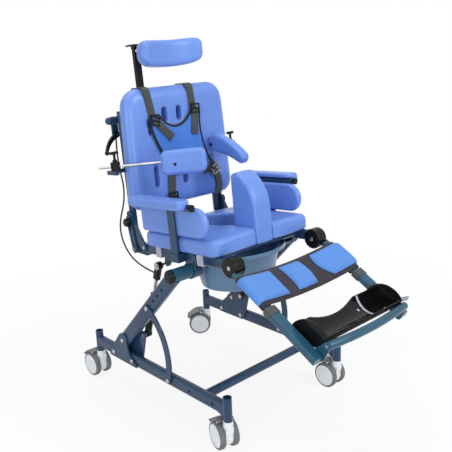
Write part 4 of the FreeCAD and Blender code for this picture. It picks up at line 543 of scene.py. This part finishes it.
def head_form(local, low, high):
    """Bean shape: the whole pad bends up towards the sitter's left and its ends are round."""
    middle = (low + high) / 2
    half = (high - low) / 2
    c = np.clip((local[:, 0] - middle[0]) / half[0], -1, 1)
    end = np.sqrt(1 - HEAD_END_DEPTH * np.abs(c) ** HEAD_END_POWER)
    top = half[2] * (HEAD_TOP + np.where(c > 0, HEAD_TOP_LEFT, HEAD_TOP_RIGHT) * c ** 2)
    foot = -half[2] * (1 - np.where(c > 0, HEAD_FOOT_LEFT, HEAD_FOOT_RIGHT) * c ** 2)
    share = (local[:, 2] - middle[2]) / half[2]
    local[:, 2] = middle[2] + (top + foot) / 2 + share * end * (top - foot) / 2
    return local


def back_form(local, low, high):
    """Pillow edges all round, and wider corners at the top."""
    middle = (low + high) / 2
    half = (high - low) / 2
    front = np.clip((low[1] + BACK_FRONT_ROUND - local[:, 1]) / BACK_FRONT_ROUND, 0, 1)
    rear = np.clip((local[:, 1] - high[1] + BACK_REAR_ROUND) / BACK_REAR_ROUND, 0, 1)
    inset = BACK_FRONT_ROUND * (1 - np.sqrt(1 - front ** 2)) + BACK_REAR_ROUND * (1 - np.sqrt(1 - rear ** 2))
    rise = np.clip((local[:, 2] - high[2] + TOP_CORNER) / TOP_CORNER, 0, 1)
    corner = TOP_CORNER * (1 - np.sqrt(1 - rise ** 2)) * TOP_CORNER_SHARE
    for axis, amount in ((0, inset + corner), (2, inset)):
        off = local[:, axis] - middle[axis]
        local[:, axis] -= off * amount / half[axis] * np.abs(off / half[axis]) ** 2
    return local


def trunk_pad_form(local, low, high):
    """The pad on the long rod is lower and shorter than its solid."""
    middle = (low + high) / 2
    way = np.array([cos(ROD_TURN), -sin(ROD_TURN), 0])
    off = local - middle
    off -= np.outer(off @ way, way) * TRUNK_SHORTER
    off[:, 2] *= TRUNK_HEIGHT
    return middle + off


def make_cushions():
    cushion("seat_cushion", "seat", ("w-",), proud=0.5)
    cushion("pommel", "pommel", ("w-", "x-", "x+", "u-", "u+"), proud=0.0)
    cushion("back_cushion", "back", ("u+",), voxel=0.0045, rounds=4, proud=1.0, form=back_form)
    cushion("headrest_pad", "headrest", ("u+",), voxel=0.0045, rounds=8, form=head_form)
    for side, outer in (("left", "x+"), ("right", "x-")):
        cushion("armrest_pad_" + side, "armrest_" + side, ("w-",), voxel=0.004, rounds=3)
        cushion("side_panel_" + side, "armrest_" + side, (outer,), voxel=0.004, rounds=3)
        cushion("lateral_pad_" + side, "lateral_" + side, voxel=0.004, rounds=3,
                form=trunk_pad_form if side == "right" else None)


# Calf sling: sizes in millimetres, down the leg and above the tubes' middle
SLING_START, SLING_END = 44.0, 150.0
SLING_THICK = 3.0
SLING_HEM = 2.0                 # cloth beyond the solid's ends
SAG_RADIUS = 921.9              # curve of the solid's underside between the tubes
SAG_DEPTH = 9.0                 # lowest point of that curve below the tubes' middle
SAG_CENTRE = SAG_RADIUS - SAG_DEPTH
SAG_TOP = 4.0                   # upper face over the underside
SLEEVE = ((168, -10.5), (176, -11.2), (188, -11.2), (197, -8.5), (199.5, 0), (198.5, 9), (193, 13.5))
SLING_FREE = 184                # half the width between the sleeves
PAD_LOW, PAD_HIGH = 0.3, 11.0   # faces of the pads over the sling
PAD_START, PAD_END = SLING_START + 7, SLING_END - 9
PAD_EDGE, PAD_CROWN = 7.0, 2.5  # drop at the edges and rise in the middle
PAD_EDGE_POWER = 10             # how late the edges drop
SLING_GRID, PAD_GRID = (8, 60), (14, 18)    # rows and columns
SLING_STEPS = 31                # points of the path between the sleeves


def sling_height(x):
    """Top of the sling between the leg tubes."""
    return SAG_CENTRE - sqrt((SAG_RADIUS - SAG_TOP) ** 2 - x * x)


def sling_path():
    """The sling's upper face from one sleeve's underside to the other's, as (x, n)."""
    middle = [(x, sling_height(x)) for x in np.linspace(-SLING_FREE, SLING_FREE, SLING_STEPS)]
    return np.array([(-x, n) for x, n in SLEEVE] + middle + list(reversed(SLEEVE)))


def along_path(path, share):
    """Point and upward normal of the path at a share from 0 to 1 of its length."""
    steps = np.linalg.norm(np.diff(path, axis=0), axis=1)
    reach = np.concatenate([[0], np.cumsum(steps)])
    way = np.gradient(path, axis=0)
    spot = np.array([np.interp(share * reach[-1], reach, path[:, i]) for i in (0, 1)])
    ahead = np.array([np.interp(share * reach[-1], reach, way[:, i]) for i in (0, 1)])
    ahead /= np.linalg.norm(ahead)
    return spot, np.array([-ahead[1], ahead[0]])


def leg_skin(name, edges, lower, upper, start, end, material, grid, edge=0.0, crown=0.0):
    """Piece on the sling between edges(t), given as shares of its path, and two heights over it."""
    path = sling_path()

    def spot(side, t, c):
        first, last = edges(t)
        base, normal = along_path(path, first + (last - first) * (c + 1) / 2)
        height = lower
        if side:
            c_edge, t_edge = abs(c) ** PAD_EDGE_POWER, abs(t) ** PAD_EDGE_POWER
            height = upper - edge * (c_edge + t_edge - c_edge * t_edge) + crown * (1 - c * c) * (1 - t * t)
        x, n = base + normal * height
        return leg(x, start + (end - start) * (t + 1) / 2, n)

    return closed_grid(name, spot, *grid, material, "legrest")[0]


def make_calf_sling():
    sling = leg_skin("calf_sling_cloth", lambda t: (0.0, 1.0), -SLING_THICK, 0.0,
                     SLING_START - SLING_HEM, SLING_END + SLING_HEM, SLING, SLING_GRID)
    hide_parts("calf_sling")
    shapes = {
        "right": lambda t: (0.075, 0.335),
        "middle": lambda t: (0.41 + 0.012 * (1 - t * t), 0.565 + 0.018 * (1 - t * t)),
        "left": lambda t: (0.69 + 0.02 * t - 0.03 * (1 - t * t), 0.925),
    }
    for name, edges in shapes.items():
        pad = leg_skin("calf_pad_" + name, edges, PAD_LOW, PAD_HIGH, PAD_START, PAD_END, CALF, PAD_GRID,
                       PAD_EDGE, PAD_CROWN)
        subdivide(pad)


# Chest harness: places on the seat unit in millimetres, sizes of the webbing in metres
VEST_LOW, VEST_TOP = 244.0, 429.0
VEST_REAR, VEST_FRONT = 193.3, 189.2
VEST_PUFF = 2.4
VEST_GRID = (22, 24)            # rows and columns
VEST_RIGHT = ((428, -115), (396, -114), (364, -107), (341, -97), (324, -87), (285, -73), (244, -66))
VEST_LEFT = ((428, 76), (374, 73), (324, 78), (283, 95), (244, 112))
FIT_HEIGHT = 340                # height from which the sides' curves are measured
NECK_DEPTH, NECK_WIDTH = 39, 0.64       # scoop, and its share of the vest's width
NECK_POWER = 0.8
BINDING_R = 0.0042
# Corners of the webbing's section, as shares of half its width and half its thickness
WEB_SECTION = ((-1, -0.5), (-1, 0.5), (-0.92, 1), (0.92, 1), (1, 0.5), (1, -0.5), (0.92, -1), (-0.92, -1))
WEB_THICK = 0.0024
SHOULDER_WIDE, LOOSE_WIDE = 0.026, 0.025
STRAP_FRONT, STRAP_REAR, STRAP_TOP = 194.2, 252.5, 513.8
FRONT_BEND, REAR_BEND = 17, 8   # radii over the top of the back
BEND_POINTS = 9
FRONT_HEIGHTS, REAR_HEIGHTS = (455, 480), (490, 466)    # points of the straps below the bends
LEAN_TOP, LEAN_LONG = 500, 85   # where the straps start to lean, and how far down they lean
LEAN_REAR = 220                 # only the front run leans
SHOULDERS = (("right", -117.0, -103.0, 414), ("left", 49.0, 55.0, 430))     # x at the top and below, and end
LOOSE_STRAPS = {
    "strap_tail_right": ((-103, 186.2, 418), (-80, 183.5, 392), (-46, 183, 357)),
    "strap_tail_left": ((56, 186.2, 432), (50, 183.5, 396), (43, 183, 357)),
    "hip_strap_left": ((102, 190, 262), (117, 189, 232), (130, 190, 205), (132, 191, 182), (126, 193, 154)),
    "hip_strap_right": ((-56, 190, 262), (-62, 189, 215), (-66, 192.5, 156)),
    "hip_tail_left": ((110, 186.2, 240), (92, 184.5, 239), (70, 185, 242)),
}
SLIDE_X, SLIDE_W = 17.0, 15.0   # half width and half height of a slide
SLIDE_BAR, SLIDE_END = 5, 4     # bars along the webbing's width, and across it
SLIDE_MIDDLE = 2.5              # half the middle bar
SLIDE_FRONT, SLIDE_DEEP = 181.5, 5.0
SLIDE_EASE = 0.0012


def ribbon(name, line, width, thick, across, material, body, replaces=None):
    """Flat band along a line of points; across is the direction of its width."""
    across = Vector(across).normalized()
    rings = []
    for i, spot in enumerate(line):
        way = heading(line, i)
        side = (across - way * across.dot(way)).normalized()
        up = way.cross(side)
        rings.append([spot + side * (a * width / 2) + up * (b * thick / 2) for a, b in WEB_SECTION])
    piece = add_piece(name, *loft(rings), material, body)
    piece.data.set_sharp_from_angle(angle=CREASE)
    if replaces:
        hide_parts(replaces)


def arc(centre, radius, start, end):
    """(u, w) points of an arc, angles in degrees from the rear."""
    turns = np.radians(np.linspace(start, end, BEND_POINTS))
    return [(centre[0] + radius * cos(t), centre[1] + radius * sin(t)) for t in turns]


def smooth_side(points):
    """Cubic through the listed (w, x) points of a side, as a function of w."""
    heights, places = zip(*points)
    curve = np.polyfit(np.array(heights) - FIT_HEIGHT, places, 3)
    return lambda w: np.polyval(curve, w - FIT_HEIGHT)


def make_vest():
    """Waisted cloth panel with a scooped neck, bound with dark tape."""
    right, left = smooth_side(VEST_RIGHT), smooth_side(VEST_LEFT)

    def spot(side, t, c):
        rim = VEST_TOP - NECK_DEPTH * max(0.0, 1 - (c / NECK_WIDTH) ** 2) ** NECK_POWER
        w = VEST_LOW + (t + 1) / 2 * (rim - VEST_LOW)
        x = right(w) + (left(w) - right(w)) * (c + 1) / 2
        puff = VEST_PUFF * (1 - c * c) * (1 - t ** 4)
        return seat(x, VEST_FRONT - puff if side else VEST_REAR, w)

    vest, border = closed_grid("chest_vest_cloth", spot, *VEST_GRID, VEST, "back")
    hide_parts("chest_vest")
    make_binding(border)


def make_binding(border):
    curve = bpy.data.curves.new("vest_binding", "CURVE")
    curve.dimensions = "3D"
    curve.bevel_depth = BINDING_R
    curve.bevel_resolution = 2
    line = curve.splines.new("POLY")
    line.points.add(len(border) - 1)
    for point, spot in zip(line.points, border):
        point.co = (*spot, 1)
    line.use_cyclic_u = True
    curve.materials.append(BINDING)
    binding = bpy.data.objects.new("vest_binding", curve)
    bpy.context.scene.collection.objects.link(binding)
    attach(binding, "back")


def shoulder_line(top_x, low_x, low):
    """Line up the front of the back, over its top and down behind."""
    over = [(STRAP_FRONT, w) for w in (low, *FRONT_HEIGHTS)]
    over += arc((STRAP_FRONT + FRONT_BEND, STRAP_TOP - FRONT_BEND), FRONT_BEND, 180, 90)
    over += arc((STRAP_REAR - REAR_BEND, STRAP_TOP - REAR_BEND), REAR_BEND, 90, 0)
    over += [(STRAP_REAR, w) for w in REAR_HEIGHTS]
    line = []
    for u, w in over:
        lean = max(0.0, (LEAN_TOP - w) / LEAN_LONG) if u < LEAN_REAR else 0.0
        line.append((top_x + (low_x - top_x) * lean, u, w))
    return seat_line(*line)


def make_straps():
    for name, top_x, low_x, low in SHOULDERS:
        line = shoulder_line(top_x, low_x, low)
        ribbon("shoulder_strap_" + name, line, SHOULDER_WIDE, WEB_THICK, (1, 0, 0), WEBBING, "back",
               "harness_straps" if name == "right" else None)
    for name, line in LOOSE_STRAPS.items():
        ribbon(name, seat_line(*line), LOOSE_WIDE, WEB_THICK, (1, 0, 0.02), WEBBING, "back")


def buckle(name, x, w, degrees, material):
    """Three-bar slide: a frame with two webbing slots."""
    turn = radians(degrees)
    bars = (
        (-SLIDE_X, SLIDE_X, -SLIDE_W, -SLIDE_W + SLIDE_BAR),
        (-SLIDE_X, SLIDE_X, SLIDE_W - SLIDE_BAR, SLIDE_W),
        (-SLIDE_X, SLIDE_X, -SLIDE_MIDDLE, SLIDE_MIDDLE),
        (-SLIDE_X, -SLIDE_X + SLIDE_END, -SLIDE_W, SLIDE_W),
        (SLIDE_X - SLIDE_END, SLIDE_X, -SLIDE_W, SLIDE_W),
    )
    verts, faces = [], []
    for x0, x1, w0, w1 in bars:
        outline = []
        for a, b in ((x0, w0), (x1, w0), (x1, w1), (x0, w1)):
            outline.append((x + a * cos(turn) - b * sin(turn), w + a * sin(turn) + b * cos(turn)))
        depths = (SLIDE_FRONT, SLIDE_FRONT + SLIDE_DEEP)
        bar_verts, bar_faces = loft([[seat(xx, u, ww) for xx, ww in outline] for u in depths])
        faces += [tuple(len(verts) + i for i in face) for face in bar_faces]
        verts += bar_verts
    piece = add_piece(name, verts, faces, material, "back", smooth=False)
    ease_edges(piece, SLIDE_EASE)


def make_harness():
    make_vest()
    make_straps()
    buckle("buckle_right", -103, 414, -20, SATIN)
    buckle("buckle_left", 56, 436, -4, SATIN)
    buckle("hip_buckle_left", 116, 237, 28, SLIDE)
    buckle("hip_buckle_right", -65, 178, 3, SATIN)


# Screws: radii in metres, places of the pads' screws on the seat unit in millimetres; the foot shell's radius
# is for a painted highlight spot drawn as a screw head
SCREW_SIDES = 20
SCREW_PROFILE = ((1.0, -0.0005), (1.0, 0.0012), (0.55, 0.0022))     # share of the radius, and rise
KNEE_SCREW_R, TRUNK_SCREW_R, SIDE_SCREW_R, FOOT_GLINT_R = 0.006, 0.0045, 0.005, 0.0045
KNEE_SCREWS = (("knee_bolt_right", "legrest", -0.186), ("knee_bolt_left", "seat", 0.15))    # body, and x
PAD_SCREW_RIGHT, PAD_SCREW_LEFT = (-133.2, 74.6, 293), (100.6, 178, 316)


def screw(name, body, centre, facing, radius, material):
    """Low domed screw head."""
    out = Vector(facing).normalized()
    across = out.orthogonal().normalized()
    up = out.cross(across)
    rings = []
    for share, rise in SCREW_PROFILE:
        rings.append(round_ring(centre + out * rise, across, up, radius * share, SCREW_SIDES))
    piece = add_piece(name, *loft(rings), material, body)
    piece.data.set_sharp_from_angle(angle=CREASE)


def make_screws():
    knee = leg(0, 0, 0)
    for name, body, x in KNEE_SCREWS:
        screw(name, body, knee + Vector((x, 0, 0)), (-1, 0, 0), KNEE_SCREW_R, STEEL)
    screw("pad_screw_right", "lateral_right", seat(*PAD_SCREW_RIGHT), (-sin(ROD_TURN), -cos(ROD_TURN), 0),
          TRUNK_SCREW_R, SATIN)
    screw("pad_screw_left", "lateral_left", seat(*PAD_SCREW_LEFT), (-1, 0, 0),
          SIDE_SCREW_R, SATIN)


# Painted highlights on the foot shell: a pale strip for a painted reflection and a steel head for a painted
# highlight spot; and the pale ear
REFLECTION_X, REFLECTION_SLANT = 106, 7   # place of the painted reflection strip, and degrees of turn for each millimetre that it shifts
REFLECTION_TURNS = range(25, 156, 5)         # degrees round the trough
REFLECTION_OFF = 0.9                 # middle of the strip over the shell
REFLECTION_WIDE, REFLECTION_THICK = 0.008, 0.0014
# Painted highlight spot, drawn as a steel screw head: its x, its turn round the trough and its offset over
# the inside
GLINT_X, GLINT_TURN, GLINT_OFF = 77, -63, 0.2
EAR_X = (158.4, 160.4)
EAR_CORNERS = ((-558, 396), (-566, 384), (-602, 403), (-608, 417))      # (y, z) from the base's middle


def make_foot_highlights_and_ear():
    """Painted reflection as a pale strip across the shell, a painted highlight spot as a steel screw head in
    the trough, and the pale ear at the left end.
    """
    # The pale strip is a painted reflection on the glossy trough.
    line = [gutter(REFLECTION_X - turn / REFLECTION_SLANT, -turn, REFLECTION_OFF) for turn in REFLECTION_TURNS]
    ribbon("foot_reflection_strip", line, REFLECTION_WIDE, REFLECTION_THICK, (1, 0, 0), CLIP, "footrest")
    # The steel head is a painted highlight spot on the glossy trough, not a fixing bolt.
    glint = gutter(GLINT_X, GLINT_TURN, GLINT_OFF)
    inward = gutter(GLINT_X, GLINT_TURN, GUTTER_INSIDE) - glint
    screw("foot_highlight_spot", "footrest", glint, inward, FOOT_GLINT_R, STEEL)
    rings = [[chair(x, y, z) for y, z in EAR_CORNERS] for x in EAR_X]
    ear = add_piece("foot_ear", *loft(rings), CLIP, "footrest", smooth=False)


# Studio
CAMERA_PLACE = (-1313.1, -1501.1, 1112.6)       # from the base's middle, in millimetres
CAMERA_TURN, CAMERA_RISE, CAMERA_ROLL = radians(-42.618), radians(16.298), radians(-2.170)
CAMERA_LENS, CAMERA_SENSOR = 53.6, 36.0
WORLD_COLOUR, WORLD_LIGHT = (0.9, 0.94, 1.0, 1), 0.45
WHITE_COLOUR, WHITE_LIGHT = (1, 1, 1, 1), 1.0
FLOOR_COLOUR = (0.86, 0.86, 0.87, 1)
FLOOR_HALF = 6                                  # metres
FADE_NEAR, FADE_FAR = 0.5, 1.6                  # metres from the middle
FADE_WHITE = 0.86                               # share of white near the chair, where shadows show
LAMP_TARGET = (0, 0, 0.55)
# Name, place and size in metres, and power in watts
LAMPS = (
    ("key", (1.2, -2.7, 2.4), (1.4, 1.4), 42),
    ("fill", (-2.6, -1.0, 1.4), (1.8, 1.8), 26),
    ("top", (-0.2, 0.3, 3.0), (2.0, 2.0), 30),
    ("strip", (-0.75, -2.7, 0.8), (0.12, 1.5), 14),
)


def make_camera():
    level = cos(CAMERA_RISE)
    back = Vector((sin(CAMERA_TURN) * level, -cos(CAMERA_TURN) * level, sin(CAMERA_RISE)))
    right = Vector((cos(CAMERA_TURN), sin(CAMERA_TURN), 0))
    up = back.cross(right)
    across = right * cos(CAMERA_ROLL) + up * sin(CAMERA_ROLL)
    upward = up * cos(CAMERA_ROLL) - right * sin(CAMERA_ROLL)
    camera = bpy.data.cameras.new("camera")
    camera.lens = CAMERA_LENS
    camera.sensor_width = CAMERA_SENSOR
    view = bpy.data.objects.new("camera", camera)
    turn = Matrix((across, upward, back)).transposed().to_4x4()
    view.matrix_world = Matrix.Translation(chair(*CAMERA_PLACE)) @ turn
    bpy.context.scene.collection.objects.link(view)
    bpy.context.scene.camera = view


def area_light(name, location, size, power):
    lamp = bpy.data.lights.new(name, "AREA")
    lamp.shape = "RECTANGLE"
    lamp.size, lamp.size_y = size
    lamp.energy = power
    made = bpy.data.objects.new(name, lamp)
    made.location = location
    made.rotation_euler = (Vector(LAMP_TARGET) - Vector(location)).to_track_quat("-Z", "Y").to_euler()
    bpy.context.scene.collection.objects.link(made)


def join_values(owner, operation, first, second):
    """One value from two."""
    joined = add_node(owner, "ShaderNodeMath")
    joined.operation = operation
    link(owner, first, joined.inputs[0])
    link(owner, second, joined.inputs[1])
    return joined.outputs[0]


def seen_rays(owner):
    """1 for rays that show the background: from the camera, off gloss and through clear plastic."""
    rays = add_node(owner, "ShaderNodeLightPath").outputs
    outer = join_values(owner, "MAXIMUM", rays["Is Camera Ray"], rays["Is Glossy Ray"])
    return join_values(owner, "MAXIMUM", outer, rays["Is Transmission Ray"])


def mix_surface(owner, output, share, lit, white):
    """The surface is lit where the share is 0 and white where it is 1."""
    mix = add_node(owner, "ShaderNodeMixShader")
    link(owner, share, mix.inputs["Fac"])
    link(owner, lit.outputs[0], mix.inputs[1])
    link(owner, white.outputs[0], mix.inputs[2])
    link(owner, mix.outputs[0], output.inputs["Surface"])


def make_world():
    world = bpy.data.worlds.new("studio")
    world.use_nodes = True
    world.node_tree.nodes.clear()
    light = add_node(world, "ShaderNodeBackground", Color=WORLD_COLOUR, Strength=WORLD_LIGHT)
    white = add_node(world, "ShaderNodeBackground", Color=WHITE_COLOUR, Strength=WHITE_LIGHT)
    mix_surface(world, add_node(world, "ShaderNodeOutputWorld"), seen_rays(world), light, white)
    bpy.context.scene.world = world


def floor_material():
    """White to the camera, with a share of lit floor near the chair that keeps its shadow."""
    material = bpy.data.materials.new("floor")
    material.use_nodes = True
    material.node_tree.nodes.clear()
    matte = add_node(material, "ShaderNodeBsdfDiffuse", Color=FLOOR_COLOUR)
    white = add_node(material, "ShaderNodeEmission", Strength=WHITE_LIGHT)
    spot = add_node(material, "ShaderNodeTexCoord")
    away = add_node(material, "ShaderNodeVectorMath")
    away.operation = "LENGTH"
    link(material, spot.outputs["Object"], away.inputs[0])
    fade = add_node(material, "ShaderNodeMapRange", From_Min=FADE_NEAR, From_Max=FADE_FAR, To_Min=FADE_WHITE,
                    To_Max=1.0)
    link(material, away.outputs["Value"], fade.inputs["Value"])
    share = join_values(material, "MULTIPLY", seen_rays(material), fade.outputs["Result"])
    mix_surface(material, add_node(material, "ShaderNodeOutputMaterial"), share, matte, white)
    return material


def make_floor():
    corners = [(x * FLOOR_HALF, y * FLOOR_HALF, 0) for x, y in ((-1, -1), (1, -1), (1, 1), (-1, 1))]
    mesh = bpy.data.meshes.new("floor")
    mesh.from_pydata(corners, [], [(0, 1, 2, 3)])
    mesh.materials.append(floor_material())
    floor = bpy.data.objects.new("floor", mesh)
    bpy.context.scene.collection.objects.link(floor)


def make_studio():
    bpy.context.scene.view_settings.view_transform = "Standard"
    make_camera()
    make_world()
    make_floor()
    for lamp in LAMPS:
        area_light(*lamp)


make_studio()
dress_frame()
dress_details()
make_cable()
make_cushions()
make_calf_sling()
make_harness()
make_screws()
make_foot_highlights_and_ear()
